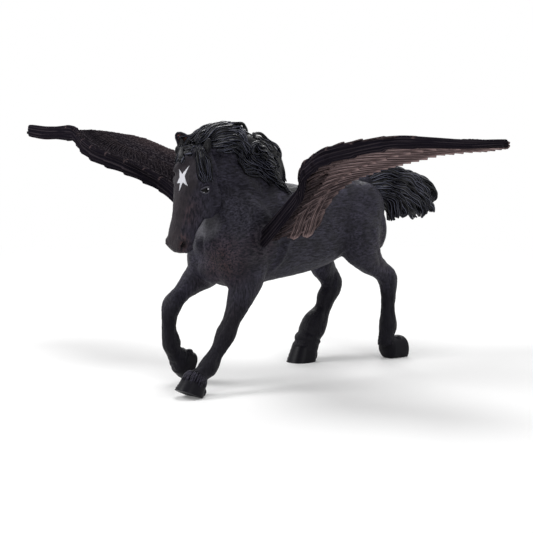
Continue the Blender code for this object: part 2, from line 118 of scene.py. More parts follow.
def editAll(item, *steps):
    # Runs edit-mode steps on the whole of a piece
    selectOnly(item)
    bpy.ops.object.mode_set(mode="EDIT")
    bpy.ops.mesh.select_all(action="SELECT")
    for step in steps:
        step()
    bpy.ops.object.mode_set(mode="OBJECT")


def mergeDoubles():
    bpy.ops.mesh.remove_doubles(threshold=0.00001)


def faceOutward():
    bpy.ops.mesh.normals_make_consistent(inside=False)


def readPoints(item):
    points = np.empty(len(item.data.vertices) * 3)
    item.data.vertices.foreach_get("co", points)
    return toHorse(points.reshape(-1, 3))


def readNormals(item):
    normals = np.empty(len(item.data.vertices) * 3)
    item.data.vertices.foreach_get("normal", normals)
    return normals.reshape(-1, 3)


def writePoints(item, points):
    item.data.vertices.foreach_set("co", toFrame(points).ravel())
    item.data.update()


def markValues(item, name, values):
    # Keeps one number per vertex under a name that a material can read
    attribute = item.data.attributes.get(name) or item.data.attributes.new(name, "FLOAT", "POINT")
    attribute.data.foreach_set("value", np.asarray(values, np.float32))


def smoothRows(rows, steps=6):
    # Passes a smooth curve through rows of numbers
    rows = np.array(rows, float)
    padded = np.vstack([2 * rows[0] - rows[1], rows, 2 * rows[-1] - rows[-2]])
    made = []
    for span in range(len(rows) - 1):
        a, b, c, d = padded[span : span + 4]
        for step in range(steps):
            t = step / steps
            made.append(0.5 * (2 * b + (c - a) * t + (2 * a - 5 * b + 4 * c - d) * t * t
                               + (3 * b - a - 3 * c + d) * t**3))
    made.append(rows[-1])
    return np.array(made)


def readCurve(rows, places):
    # Reads a smoothed table at places from 0 to 1 along it
    curve = smoothRows(rows, 8)
    at = np.clip(places, 0, 1) * (len(curve) - 1)
    return np.stack([np.interp(at, np.arange(len(curve)), column) for column in curve.T], axis=-1)


def addGrid(name, across, along):
    # A flat grid from -1 to 1 that is later shaped, with its own UV map
    bpy.ops.object.select_all(action="DESELECT")
    bpy.ops.mesh.primitive_grid_add(x_subdivisions=across, y_subdivisions=along, size=2, calc_uvs=True)
    grid = bpy.context.object
    grid.name = name
    flat = np.empty(len(grid.data.vertices) * 3)
    grid.data.vertices.foreach_get("co", flat)
    flat = flat.reshape(-1, 3)
    return grid, flat[:, 0].copy(), flat[:, 1] * 0.5 + 0.5


def stretchMap(item, across, along):
    layer = item.data.uv_layers[0].data
    spots = np.empty(len(layer) * 2)
    layer.foreach_get("uv", spots)
    layer.foreach_set("uv", (spots.reshape(-1, 2) * (across, along)).ravel())


def copyShaped(template, name, points):
    # One more copy of a template, with a mesh of its own, moved to horse points
    piece = template.copy()
    piece.data = template.data.copy()
    piece.name = name
    bpy.context.scene.collection.objects.link(piece)
    writePoints(piece, points)
    return piece


def dropTemplate(template):
    bpy.data.objects.remove(template, do_unlink=True)


def keepPiece(item, material, smoothAngle=50):
    # Finish, body and slot of a piece
    item.data.materials.clear()
    item.data.materials.append(material)
    for polygon in item.data.polygons:
        polygon.material_index = 0
    selectOnly(item)
    bpy.ops.object.shade_smooth_by_angle(angle=math.radians(smoothAngle))
    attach(item, bodyName)
    print("piece", item.name, len(item.data.polygons), "faces")


# Shared effects of the materials

def newGroup(name, inputs, outputs):
    group = bpy.data.node_groups.new(name, "ShaderNodeTree")
    for label, kind, value in inputs:
        socket = group.interface.new_socket(name=label, in_out="INPUT", socket_type=kind)
        socket.default_value = value
    for label, kind in outputs:
        group.interface.new_socket(name=label, in_out="OUTPUT", socket_type=kind)
    return group, group.nodes.new("NodeGroupInput"), group.nodes.new("NodeGroupOutput")


def addNode(tree, kind, inputs=None, **values):
    node = tree.nodes.new(kind)
    for key, value in values.items():
        setattr(node, key, value)
    for key, value in (inputs or {}).items():
        if isinstance(value, bpy.types.NodeSocket):
            tree.links.new(value, node.inputs[key])
        else:
            node.inputs[key].default_value = value
    return node


def doMath(tree, operation, first, second, clamped=True):
    node = addNode(tree, "ShaderNodeMath", {0: first, 1: second}, operation=operation, use_clamp=clamped)
    return node.outputs[0]


def remap(tree, value, low, high, toLow=0.0, toHigh=1.0, interpolation="LINEAR"):
    node = addNode(tree, "ShaderNodeMapRange", {"Value": value, "From Min": low, "From Max": high,
                                                "To Min": toLow, "To Max": toHigh},
                   interpolation_type=interpolation)
    return node.outputs[0]


def mixColours(tree, factor, under, over):
    mix = addNode(tree, "ShaderNodeMix", data_type="RGBA")
    for socket, value in ((mix.inputs["Factor"], factor), (mix.inputs["A"], under), (mix.inputs["B"], over)):
        if isinstance(value, bpy.types.NodeSocket):
            tree.links.new(value, socket)
        else:
            socket.default_value = value
    return mix.outputs["Result"]


def readMark(tree, name):
    return addNode(tree, "ShaderNodeAttribute", attribute_name=name).outputs["Fac"]


def makeSpotGroup():
    # A soft round mask about a place on the object
    group, given, result = newGroup(
        "softSpot",
        [("Place", "NodeSocketVector", (0, 0, 0)), ("Radius", "NodeSocketFloat", 0.01),
         ("Blur", "NodeSocketFloat", 0.01)],
        [("Mask", "NodeSocketFloat")])
    coords = addNode(group, "ShaderNodeTexCoord")
    away = addNode(group, "ShaderNodeVectorMath",
                   {0: coords.outputs["Object"], 1: given.outputs["Place"]}, operation="DISTANCE")
    rim = doMath(group, "ADD", given.outputs["Radius"], given.outputs["Blur"], False)
    mask = remap(group, away.outputs["Value"], given.outputs["Radius"], rim, 1.0, 0.0, "SMOOTHSTEP")
    group.links.new(mask, result.inputs["Mask"])
    return group


def makeHairGroup():
    # Short coat hair: fine streaks that lie along the body, with a coarser mottle under them
    group, given, result = newGroup(
        "coatHair",
        [("Stretch", "NodeSocketVector", (900, 2600, 2600)), ("Lean", "NodeSocketVector", (0, 0.5, 0)),
         ("Mottle Scale", "NodeSocketFloat", 160.0)],
        [("Height", "NodeSocketFloat"), ("Mottle", "NodeSocketFloat")])
    coords = addNode(group, "ShaderNodeTexCoord")
    turned = addNode(group, "ShaderNodeMapping",
                     {"Vector": coords.outputs["Object"], "Rotation": given.outputs["Lean"],
                      "Scale": given.outputs["Stretch"]})
    streaks = addNode(group, "ShaderNodeTexNoise",
                      {"Vector": turned.outputs[0], "Scale": 1.0, "Detail": 3.0, "Roughness": 0.6,
                       "Distortion": 0.4})
    mottle = addNode(group, "ShaderNodeTexNoise",
                     {"Vector": coords.outputs["Object"], "Scale": given.outputs["Mottle Scale"],
                      "Detail": 4.0})
    group.links.new(streaks.outputs["Fac"], result.inputs["Height"])
    group.links.new(mottle.outputs["Fac"], result.inputs["Mottle"])
    return group


def makeLineGroup():
    # Feather barbs or strand lines that follow the piece's own UV map
    group, given, result = newGroup(
        "fineLines",
        [("Across", "NodeSocketFloat", 20.0), ("Along", "NodeSocketFloat", 3.0),
         ("Slant", "NodeSocketFloat", 0.0), ("Waver", "NodeSocketFloat", 1.5)],
        [("Height", "NodeSocketFloat"), ("Ridge", "NodeSocketFloat")])
    coords = addNode(group, "ShaderNodeUVMap", uv_map="UVMap")
    parts = addNode(group, "ShaderNodeSeparateXYZ", {0: coords.outputs[0]})
    leaned = addNode(group, "ShaderNodeMath",
                     {0: parts.outputs["Y"], 1: given.outputs["Slant"], 2: parts.outputs["X"]},
                     operation="MULTIPLY_ADD")
    across = doMath(group, "MULTIPLY", leaned.outputs[0], given.outputs["Across"], False)
    along = doMath(group, "MULTIPLY", parts.outputs["Y"], given.outputs["Along"], False)
    joined = addNode(group, "ShaderNodeCombineXYZ", {0: across, 1: along})
    lines = addNode(group, "ShaderNodeTexWave",
                    {"Vector": joined.outputs[0], "Scale": 1.0, "Distortion": given.outputs["Waver"],
                     "Detail": 2.0, "Detail Scale": 1.5})
    noise = addNode(group, "ShaderNodeTexNoise", {"Vector": joined.outputs[0], "Scale": 1.6, "Detail": 3.0})
    height = doMath(group, "MULTIPLY", lines.outputs["Fac"], noise.outputs["Fac"], False)
    ridge = remap(group, height, 0.32, 0.54, 0.0, 1.0, "SMOOTHSTEP")
    group.links.new(height, result.inputs["Height"])
    group.links.new(ridge, result.inputs["Ridge"])
    return group


spotGroup = makeSpotGroup()
hairGroup = makeHairGroup()
lineGroup = makeLineGroup()


def newMaterial(name, roughness, specular):
    material = bpy.data.materials.new(name)
    material.use_nodes = True
    tree = material.node_tree
    shader = tree.nodes["Principled BSDF"]
    shader.inputs["Roughness"].default_value = roughness
    shader.inputs["Specular IOR Level"].default_value = specular
    return material, tree, shader


def useGroup(tree, group, **inputs):
    # An underscore in an input's name stands for a space
    node = tree.nodes.new("ShaderNodeGroup")
    node.node_tree = group
    for key, value in inputs.items():
        node.inputs[key.replace("_", " ")].default_value = value
    return node


def brushSpot(tree, place, radius, blur, strength):
    spot = useGroup(tree, spotGroup, Place=tuple(toFrame(place)), Radius=radius * 0.001, Blur=blur * 0.001)
    return doMath(tree, "MULTIPLY", spot.outputs["Mask"], strength)


def finishPaint(tree, shader, colour, settings, height):
    bump = addNode(tree, "ShaderNodeBump", {"Strength": settings["bump"], "Distance": settings["depth"],
                                            "Height": height})
    tree.links.new(colour, shader.inputs["Base Color"])
    tree.links.new(bump.outputs[0], shader.inputs["Normal"])


coatSettings = {
    "dark": (0.0055, 0.005, 0.0085, 1),
    "light": (0.058, 0.054, 0.08, 1),
    "brown": (0.105, 0.058, 0.053, 1),
    "muzzleBrown": (0.085, 0.045, 0.038, 1),
    "grey": (0.085, 0.083, 0.105, 1),
    # Pale grey painted light for the lit front of the chest by the jaw
    "litChestGrey": (0.155, 0.152, 0.172, 1),
    "specular": 0.12,
    "roughness": 0.5,
    "bump": 0.8,
    "depth": 0.0006,
    # Streaks per metre along each axis, and how the streaks lean
    "trunkHair": (340, 1250, 1250),
    "trunkLean": (0, 0.35, 0),
    "uprightHair": (1250, 1250, 340),
    "uprightLean": (0, 0.1, 0),
    # Colours of the places that the body's marks name
    "marks": {
        "legShade": (0.002, 0.0015, 0.004, 1),
        # face is painted light: an even lit tone on the head's front-facing plane
        "face": (0.024, 0.02, 0.0235, 1),
        "maneShade": (0.002, 0.002, 0.0035, 1),
        "earInside": (0.3, 0.16, 0.14, 1),
        # Painted shade in the nostrils, the ear hollows and at the root of the right ear
        "hollowShade": (0.002, 0.0015, 0.002, 1),
    },
    # Where a colour is brushed on: place, radius and blur in millimetres, and how strongly
    "brownSpots": [
        ((-42, -9, 61), 3, 13, 0.62),
        ((-28, -18, 68), 3, 10, 0.35),
        ((-46, -13, 30), 4, 12, 0.2),
        ((-30, 0, 48), 6, 18, 0.2),
        ((62, -14, 60), 2, 16, 0.2),
    ],
    "greySpots": [
        ((-34, -15, 84), 4, 12, 0.4),
        ((-31, -18, 62), 3, 10, 0.35),
        ((10, -18, 66), 8, 22, 0.25),
    ],
    "muzzleSpot": ((-69, -2.5, 70), 3.5, 5.5, 0.75),
    "faceSpot": ((-66, -2, 86), 4, 10, 0.35),
    # The lit front of the chest by the jaw: a painted highlight
    "litChestSpot": ((-48.5, -1.5, 77), 4, 5, 0.85),
}


def paintCoat():
    s = coatSettings
    material, tree, shader = newMaterial("charcoalCoat", s["roughness"], s["specular"])
    hair = useGroup(tree, hairGroup, Stretch=s["trunkHair"], Lean=s["trunkLean"])
    legHair = useGroup(tree, hairGroup, Stretch=s["uprightHair"], Lean=s["uprightLean"])
    mottle = hair.outputs["Mottle"]
    height = mixColours(tree, readMark(tree, "upright"), hair.outputs["Height"], legHair.outputs["Height"])
    patch = remap(tree, mottle, 0.3, 0.7, 0.25, 1.0)
    tone = doMath(tree, "MULTIPLY", remap(tree, height, 0.36, 0.66), patch)
    colour = mixColours(tree, tone, s["dark"], s["light"])
    streak = remap(tree, height, 0.42, 0.66)
    soft = remap(tree, height, 0.35, 0.65, 0.6, 1.0)
    spots = [(row, "brown", streak) for row in s["brownSpots"]]
    spots += [(row, "grey", streak) for row in s["greySpots"]]
    # The last spot is the painted light on the front of the chest
    spots += [(s["muzzleSpot"], "muzzleBrown", streak), (s["faceSpot"], "brown", streak),
              (s["litChestSpot"], "litChestGrey", soft)]
    for row, brush, grain in spots:
        amount = doMath(tree, "MULTIPLY", brushSpot(tree, *row), grain)
        colour = mixColours(tree, amount, colour, s[brush])
    # The marks bring in the mane's black, painted shade on the legs, behind the shoulders and in hollows, and
    # painted light on the head's front plane
    for mark, brush in s["marks"].items():
        amount = readMark(tree, mark)
        if mark == "face":
            amount = doMath(tree, "MULTIPLY", amount, soft)
        colour = mixColours(tree, amount, colour, brush)
    finishPaint(tree, shader, colour, s, height)
    rough = remap(tree, mottle, 0.3, 0.7, s["roughness"] - 0.08, s["roughness"] + 0.1)
    tree.links.new(rough, shader.inputs["Roughness"])
    return material


hairSettings = {
    "dark": (0.0014, 0.0014, 0.0026, 1),
    # crest is a painted highlight: a light bluish tone on the strands' crests for the gloss of the black hair
    "crest": (0.135, 0.14, 0.195, 1),
    "specular": 0.12,
    "roughness": 0.22,
    "bump": 0.9,
    "depth": 0.0006,
    "linesAcross": 1.5,
    "linesAlong": 1.5,
}


def paintHair():
    s = hairSettings
    material, tree, shader = newMaterial("blackHair", s["roughness"], s["specular"])
    lines = useGroup(tree, lineGroup, Across=s["linesAcross"], Along=s["linesAlong"], Waver=1.2)
    # Painted highlight on the crests of the strand lines and lobes; the grooves keep the dark colour
    crest = doMath(tree, "MULTIPLY", lines.outputs["Ridge"], readMark(tree, "ridge"))
    colour = mixColours(tree, crest, s["dark"], s["crest"])
    finishPaint(tree, shader, colour, s, lines.outputs["Height"])
    return material


featherPaint = {
    "dark": (0.006, 0.0055, 0.008, 1),
    "grey": (0.042, 0.038, 0.045, 1),
    "brown": (0.5, 0.355, 0.345, 1),
    "arm": (0.008, 0.007, 0.012, 1),
    "specular": 0.0,
    "roughness": 0.5,
    "bump": 1.0,
    "depth": 0.0005,
    "barbsAcross": 1.7,
    "barbsAlong": 5.0,
}


def paintFeathers():
    s = featherPaint
    material, tree, shader = newMaterial("brushedFeathers", s["roughness"], s["specular"])
    lines = useGroup(tree, lineGroup, Across=s["barbsAcross"], Along=s["barbsAlong"], Slant=0.25, Waver=1.0)
    colour = mixColours(tree, lines.outputs["Ridge"], s["dark"], s["grey"])
    colour = mixColours(tree, readMark(tree, "armShade"), colour, s["arm"])
    onBarbs = doMath(tree, "MULTIPLY", lines.outputs["Ridge"], 0.35)
    onRidges = doMath(tree, "MULTIPLY", readMark(tree, "ridge"), 0.55)
    brush = doMath(tree, "ADD", doMath(tree, "ADD", onBarbs, onRidges), 0.08)
    brush = doMath(tree, "MULTIPLY", readMark(tree, "warmth"), brush)
    colour = mixColours(tree, brush, colour, s["brown"])
    finishPaint(tree, shader, colour, s, lines.outputs["Height"])
    return material


plainPaints = {
    # Colour, roughness, gloss and grains per metre
    "hornPaint": ((0.0065, 0.006, 0.009, 1), 0.38, 0.08, 260.0),
    "lidPaint": ((0.06, 0.057, 0.075, 1), 0.35, 0.25, 500.0),
    "eyeGloss": ((0.002, 0.0015, 0.002, 1), 0.12, 0.1, 300.0),
    # White paint of the star, also used for the eyes' painted glints
    "starPaintAndGlint": ((0.62, 0.62, 0.67, 1), 0.5, 0.3, 700.0),
}


def paintPlain(name):
    colour, roughness, specular, grain = plainPaints[name]
    material, tree, shader = newMaterial(name, roughness, specular)
    hair = useGroup(tree, hairGroup, Mottle_Scale=grain)
    darker = tuple(0.78 * c for c in colour[:3]) + (1,)
    tree.links.new(mixColours(tree, hair.outputs["Mottle"], darker, colour), shader.inputs["Base Color"])
    return material


coatMaterial = paintCoat()
hairMaterial = paintHair()
featherMaterial = paintFeathers()
hoofMaterial = paintPlain("hornPaint")
lidMaterial = paintPlain("lidPaint")
eyeMaterial = paintPlain("eyeGloss")
starAndGlintMaterial = paintPlain("starPaintAndGlint")
print("materials ready")

# Body, head and legs

bodySettings = {
    "voxel": 0.0008,
    # The wings are separate pieces, and are cut off at wingCut. What is cut lies above wingFloor and
    # ahead of wingBack, or farther out than wingOut.
    "wingCut": 19.6,
    "wingOut": 24.0,
    "wingBack": 12.0,
    "wingFloor": 63.0,
    "headStart": (-51, 64),  # in front of and above here the mesh is finer
    # Dents on both sides of the head: place, shape, radius and depth
    "nostril": ((-66.8, 4.4, 69.5), (1.5, 1.7, 2.5), 0.95, 2.4),
    "eyeSocket": ((-56.9, 8.9, 94.6), (1.15, 1, 0.85), 2.2, 0.8),
    # The hollow of an ear: its line, width and depth
    "earHollow": ([(-57.5, 8.2, 110.5), (-57.6, 9.6, 116.5)], 1.5, 0.8),
    # The dark fold behind the shoulder: its line, width and depth of tone
    "shoulderShade": ([(-38, 17, 57), (-31, 19, 66), (-25, 19, 76)], 7, 0.45),
    "legShade": 0.88,
    # Short hair round a coronet: how far it reaches, its level and width, height, and tufts round it
    "coronetHair": {"reach": 8.5, "level": 0.8, "width": 1.3, "height": 0.55, "comb": 0.18, "tufts": 26},
    # Small unevenness of the skin: height, stretch along each axis, wave length and seed
    "waves": [(0.09, (0.55, 1.3, 1.0), 3.2, 3), (0.05, (0.5, 1.4, 1.2), 1.5, 5)],
    # Lower edge of the mane, as x and z
    "maneFoot": [(-58, 110), (-48, 113.2), (-40, 111.4), (-35, 110), (-33, 104), (-30, 100.5),
                 (-22, 99.3), (-15, 96.4), (-8, 93.4), (4, 89)],
}


def segmentDistance(points, line):
    # Least distance from each point to a line of places
    line = np.array(line, float)
    best = np.full(len(points), 1e9)
    for a, b in zip(line, line[1:]):
        run = b - a
        t = np.clip(((points - a) @ run) / (run @ run), 0, 1)
        best = np.minimum(best, rowLengths(points - (a + t[:, None] * run)))
    return best


def lineMask(points, line, width):
    return np.exp(-((segmentDistance(points, line) / width) ** 2))


def dentMask(points, centre, shape, radius):
    return np.exp(-((rowLengths((points - centre) / shape) / radius) ** 4))


def bothSides(line, shift=0.0):
    return [[(x, side * y + shift, z) for x, y, z in line] for side in (-1, 1)]


# Lines sculpted into the body: route, width and height, where a negative height is a groove
headLines = [
    ([(-48, 8.6, 97), (-46, 8, 91), (-48.5, 7.4, 85.5), (-53, 7, 82.5)], 2.2, 0.7),
    ([(-45, 7.6, 97), (-43.6, 6.6, 90), (-46.5, 6.4, 83.5)], 1.6, -0.8),
    ([(-59.8, 7.4, 91.5), (-63, 6.0, 85.5), (-65.2, 5, 79)], 1.1, 0.45),
    ([(-56.5, 7, 84), (-61, 5.4, 77.5), (-64, 4.8, 74)], 1.6, -0.55),
    ([(-62.2, 6.6, 97), (-65.6, 4.4, 90), (-68, 3.6, 82)], 1.4, -0.35),
    ([(-71.3, 2.4, 66.9), (-68, 4.2, 66.3), (-64.5, 5, 67.4), (-61.5, 4.6, 69.6)], 0.7, -0.8),
    ([(-69.2, 3.4, 71.8), (-67.2, 4.9, 72.2), (-65.2, 5, 70.6), (-65.7, 4.9, 68)], 0.8, 0.6),
    ([(-61, 7.3, 97.6), (-58.4, 8.9, 99), (-55, 9.4, 98.6), (-52.6, 9, 96.2)], 1.0, 0.65),
    ([(-60.2, 8.3, 92.6), (-57, 9.2, 91.6), (-54, 9, 92.2)], 0.8, 0.5),
]
trunkLines = [
    ([(-43, 9, 93), (-39.5, 11, 84), (-37, 13.5, 76), (-37, 15, 70)], 2.6, -1.3),
    ([(-31, 12.5, 88), (-33.5, 15, 79), (-36.5, 16, 72)], 4.0, 1.0),
    ([(-36, 10, 95), (-28, 12.5, 92), (-18, 14.5, 88)], 3.0, -0.6),
    ([(-50, 2.2, 70), (-50, 2.2, 54)], 2.0, 0.5),
    ([(-50.5, 0, 72), (-50.5, 0, 50)], 1.3, -1.0),
    ([(-10.5, 17.8, 68), (-13, 16.8, 60), (-19, 15.5, 52), (-27, 13.5, 47)], 1.5, 0.9),
    ([(-14.5, 18.2, 66), (-17.5, 17.6, 58), (-24, 16, 50.5)], 1.8, -0.7),
    ([(31, 14, 57.5), (35, 16, 62), (38, 17.6, 69)], 1.6, 0.8),
    ([(44, 17, 90), (37.5, 18.2, 81), (35.5, 18, 71)], 2.8, -0.7),
    ([(60, 17, 84), (61.5, 17.5, 74), (61, 17, 64), (62.5, 15, 56)], 2.2, -0.6),
    ([(20, 17.5, 84), (30, 17.6, 86), (40, 16.5, 90)], 3.0, 0.4),
]
# The legs differ from side to side, so their lines carry their own sides
legLines = [
    ([(-41, -18.5, 41), (-46, -17, 31), (-50, -16.4, 24)], 1.3, -0.5),
    ([(-49, -16.5, 25), (-53, -16.4, 20), (-56.5, -16.6, 15.5)], 1.0, -0.5),
    ([(-45, -13.3, 52), (-49.5, -13.3, 34)], 2.0, 0.3),
    ([(-49, 9.5, 47.5), (-56.5, 10, 41)], 1.4, -0.5),
    ([(-56.5, 9.8, 34), (-57, 9.9, 24)], 1.0, -0.5),
    ([(-56.5, 16.8, 34), (-57, 16.7, 24)], 1.0, -0.5),
    ([(66, -17.2, 46), (68, -17, 40), (69, -16.8, 30), (69.5, -16.8, 20)], 1.0, -0.5),
    ([(54, 9.4, 44), (52, 9.6, 34), (46, 9.8, 24), (41, 9.6, 18)], 1.0, -0.5),
    ([(58, -18.6, 52), (52, -20, 60), (47, -21, 70)], 1.8, -0.5),
    ([(47, 13, 46), (49, 13.3, 34)], 5.0, 2.2),
    ([(42, 13.3, 20), (38.5, 13.3, 14), (36.5, 13.3, 9)], 7.5, 3.0),
    ([(64.5, -13.3, 9), (65, -13.3, 5)], 3.0, 0.8),
]
hoofPlaces = {
    # Coronet, sole, way to the toe and size
    "left_fore_hoof": ((-66.8, -13.3, 7.8), (-70.6, -13.3, 1.9), (-0.91, 0, 0.42), 1.06),
    "right_fore_hoof": ((-53.2, 13.3, 13.0), (-47.2, 13.3, 9.8), (-0.42, 0, -0.91), 1.08),
    "left_hind_hoof": ((67.4, -13.3, 6.8), (80.8, -13.3, 5.8), (0.1, 0, -1.0), 1.08),
    "right_hind_hoof": ((36.6, 13.3, 11.0), (33.0, 13.3, 0.0), (-1.0, 0, 0.0), 1.2),
}


def valueNoise(points, scale, seed):
    # Smooth noise from a few turned waves, the same on every run
    rng = np.random.default_rng(seed)
    total = np.zeros(len(points))
    for _ in range(9):
        direction = unit(rng.normal(size=3))
        pitch = (math.tau / scale) * rng.uniform(0.7, 1.6)
        total += np.sin(points @ direction * pitch + rng.uniform(0, math.tau))
    return total / 4.0


def makeBody():
    # One skin over the CAD figure, without its wings, which are pieces of their own
    s = bodySettings
    body = figure.copy()
    body.data = figure.data.copy()
    body.name = "horse"
    bpy.context.scene.collection.objects.link(body)
    body.parent = None
    for key in list(body.keys()):
        del body[key]
    editAll(body, mergeDoubles)
    for side in (-1, 1):
        cutWing(body, side)
    addModifier(body, "REMESH", mode="VOXEL", voxel_size=s["voxel"], adaptivity=0.0)
    addModifier(body, "SMOOTH", factor=0.5, iterations=3)
    applyModifiers(body)
    points = readPoints(body)
    editAll(body, lambda: bpy.ops.mesh.select_all(action="DESELECT"))
    onHead = (points[:, 0] < s["headStart"][0]) & (points[:, 2] > s["headStart"][1])
    body.data.vertices.foreach_set("select", onHead)
    bpy.ops.object.mode_set(mode="EDIT")
    bpy.ops.mesh.subdivide(number_cuts=1)
    bpy.ops.object.mode_set(mode="OBJECT")
    sculptBody(body)
    return body


def cutWing(body, side):
    s = bodySettings
    selectOnly(body)
    bpy.ops.object.mode_set(mode="EDIT")
    bpy.ops.mesh.select_mode(type="VERT")
    bpy.ops.mesh.select_all(action="DESELECT")
    bpy.ops.object.mode_set(mode="OBJECT")
    x, y, z = readPoints(body).T
    wing = (z > s["wingFloor"]) & (x < s["wingBack"]) | (side * y > s["wingOut"])
    body.data.vertices.foreach_set("select", wing)
    bpy.ops.object.mode_set(mode="EDIT")
    bpy.ops.mesh.select_mode(type="FACE")
    place = toFrame((0, side * s["wingCut"], 0))
    bpy.ops.mesh.bisect(plane_co=tuple(place), plane_no=(0, side, 0), clear_outer=True)
    bpy.ops.mesh.select_all(action="SELECT")
    bpy.ops.mesh.fill_holes(sides=0)
    bpy.ops.object.mode_set(mode="OBJECT")


def coronetHair(points, coronet, sole):
    # A ring of short hair round the top of a hoof
    s = bodySettings["coronetHair"]
    coronet, sole = np.array(coronet), np.array(sole)
    level = (points - coronet) @ unit(coronet - sole)
    near = np.exp(-((rowLengths(points - coronet) / s["reach"]) ** 6))
    ring = np.exp(-(((level - s["level"]) / s["width"]) ** 2)) * near
    angle = np.arctan2(points[:, 1] - coronet[1], points[:, 0] - coronet[0])
    return ring * (s["height"] + s["comb"] * np.sin(angle * s["tufts"] + level))


def sculptBody(body):
    s = bodySettings
    points, normals = readPoints(body), readNormals(body)
    shift = horseSettings["headShift"]
    move = np.zeros(len(points))
    hollowShade = np.zeros(len(points))
    for rows, aside in ((headLines, shift), (trunkLines, 0.0)):
        for route, width, height in rows:
            for line in bothSides(route, aside):
                move += height * lineMask(points, line, width)
    for line, width, height in legLines:
        move += height * lineMask(points, line, width)
    for side in (-1, 1):
        for name in ("nostril", "eyeSocket"):
            (x, y, z), shape, radius, depth = s[name]
            dent = dentMask(points, (x, side * y + shift, z), shape, radius)
            move -= depth * dent
            # The nostril's dent is also kept for its painted shade
            if name == "nostril":
                hollowShade = np.maximum(hollowShade, dent)
    route, width, depth = s["earHollow"]
    # The ear's hollow gets painted shade too
    for line in bothSides(route, shift):
        dent = depth * lineMask(points, line, width) * (normals[:, 0] < -0.2)
        move -= dent
        hollowShade = np.maximum(hollowShade, dent)
    for coronet, sole, _, _ in hoofPlaces.values():
        move += coronetHair(points, coronet, sole)
    for height, stretch, scale, seed in s["waves"]:
        move += height * valueNoise(points * stretch, scale, seed)
    points += normals * move[:, None]
    shelf = horseSettings["soleTrim"] + 0.05
    points[:, 2] = np.maximum(points[:, 2], shelf)  # nothing sinks into what it stands on
    writePoints(body, points)
    markValues(body, "hollowShade", hollowShade)
    markPaint(body, points, normals)


def markPaint(body, points, normals):
    # Marks the places where the coat's paint changes, and where painted light and shade go
    s = bodySettings
    x, z = points[:, 0], points[:, 2]
    lowX, lowZ = zip(*s["maneFoot"])
    underMane = (x > lowX[0]) * (x < lowX[-1]) * np.clip((z - np.interp(x, lowX, lowZ)) / 1.2, 0, 1)
    tailRoot = ramp(x, 64, 67) * (z > 71) * (x + 0.8 * z > 140)
    markValues(body, "maneShade", np.maximum(tailRoot, underMane))
    shade = s["legShade"] * ramp(z, 47, 33)
    route, width, tone = s["shoulderShade"]
    for line in bothSides(route):
        shade = np.maximum(shade, tone * lineMask(points, line, width))
    markValues(body, "legShade", shade)
    # Painted light: the head's planes that face forward get a lit tone of their own
    front = ramp(-normals[:, 0], 0.48, 0.61) * ramp(x, -54, -58)
    markValues(body, "face", front * (z > 66) * (z < 110))
    markValues(body, "upright", np.maximum(ramp(z, 58, 48), ramp(x, -50, -55) * (z < 108)))


body = makeBody()
keepPiece(body, coatMaterial, 70)
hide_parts("pegasus")
bodyTree = BVHTree.FromPolygons([v.co.copy() for v in body.data.vertices],
                                [tuple(p.vertices) for p in body.data.polygons])
print("body ready")


def surfaceAt(point, direction):
    # First place on the body along a ray, and its normal
    place, normal, _, _ = bodyTree.ray_cast(Vector(toFrame(point)), Vector(direction).normalized())
    return toHorse(np.array(place)), np.array(normal)


# Hooves

hoofSettings = {"halfWidth": 5.95, "toe": 7.1, "heel": 5.7, "rings": 10, "sides": 44, "ringDepth": 0.12}


def makeHoof(name, coronet, sole, toeAxis, size):
    # A grid rolled round the hoof, rounded over at the coronet and closed under the sole
    s = hoofSettings
    coronet, sole = np.array(coronet, float), np.array(sole, float)
    toeAxis = unit(np.array(toeAxis, float))
    down = sole - coronet
    rise = unit(-down)
    grid, u, v = addGrid(name, s["sides"], s["rings"] + 4)
    angle = (u + 1) * math.pi
    c, sn = np.cos(angle), np.sin(angle)
    share = np.clip(v * 1.25, 0, 1)
    inward = ramp(v, 0.72, 1)
    grow = 0.82 + 0.18 * share + s["ringDepth"] / 6 * np.sin(share * 34)
    grow = grow * np.clip(v / 0.12, 0, 1) ** 0.3
    grow = size * grow * np.where(inward > 0, np.cos(inward * math.pi / 2) ** 0.42, 1)
    across = s["halfWidth"] * squareUp(c, 0.87) * grow
    reach = np.where(sn > 0, s["toe"], s["heel"]) * squareUp(sn, 0.87) * grow
    points = coronet + down * share[:, None]
    points = points + np.array((0.0, 1.0, 0.0)) * across[:, None] + toeAxis * reach[:, None]
    points -= rise * (0.6 * np.clip(1 - v * 12, 0, 1))[:, None]
    points = np.where((v < 0.001)[:, None], coronet + down * 0.05, points)
    points = np.where((v > 0.999)[:, None], sole + rise * 0.25, points)
    points[:, 2] = np.maximum(points[:, 2], horseSettings["soleTrim"])
    writePoints(grid, points)
    editAll(grid, mergeDoubles, faceOutward)
    return grid


for name, row in hoofPlaces.items():
    keepPiece(makeHoof(name, *row), hoofMaterial, 60)
print("hooves ready")

# Eyes with their lids, and the star on the forehead

eyeSettings = {
    "radius": 2.6,
    "show": 1.35,       # how far the ball stands out of the head
    "lidWidth": 0.5,
    "lidReach": 3.0,
    "lids": {"upper": (0.2, 1.45), "lower": (-0.2, -1.25)},  # height at the corners, and bow
    # Painted glints, white specks that stand for the lamps' reflection on the eye: forward, up and radius
    "glints": [(0.35, 0.3, 0.45), (-0.62, -0.42, 0.26)],
}


def addBall(name, centre, radius, segments, rings):
    bpy.ops.object.select_all(action="DESELECT")
    bpy.ops.mesh.primitive_uv_sphere_add(segments=segments, ring_count=rings, radius=radius * 0.001,
                                         location=tuple(toFrame(centre)))
    ball = bpy.context.object
    ball.name = name
    bpy.ops.object.transform_apply(location=True, rotation=True, scale=True)
    return ball


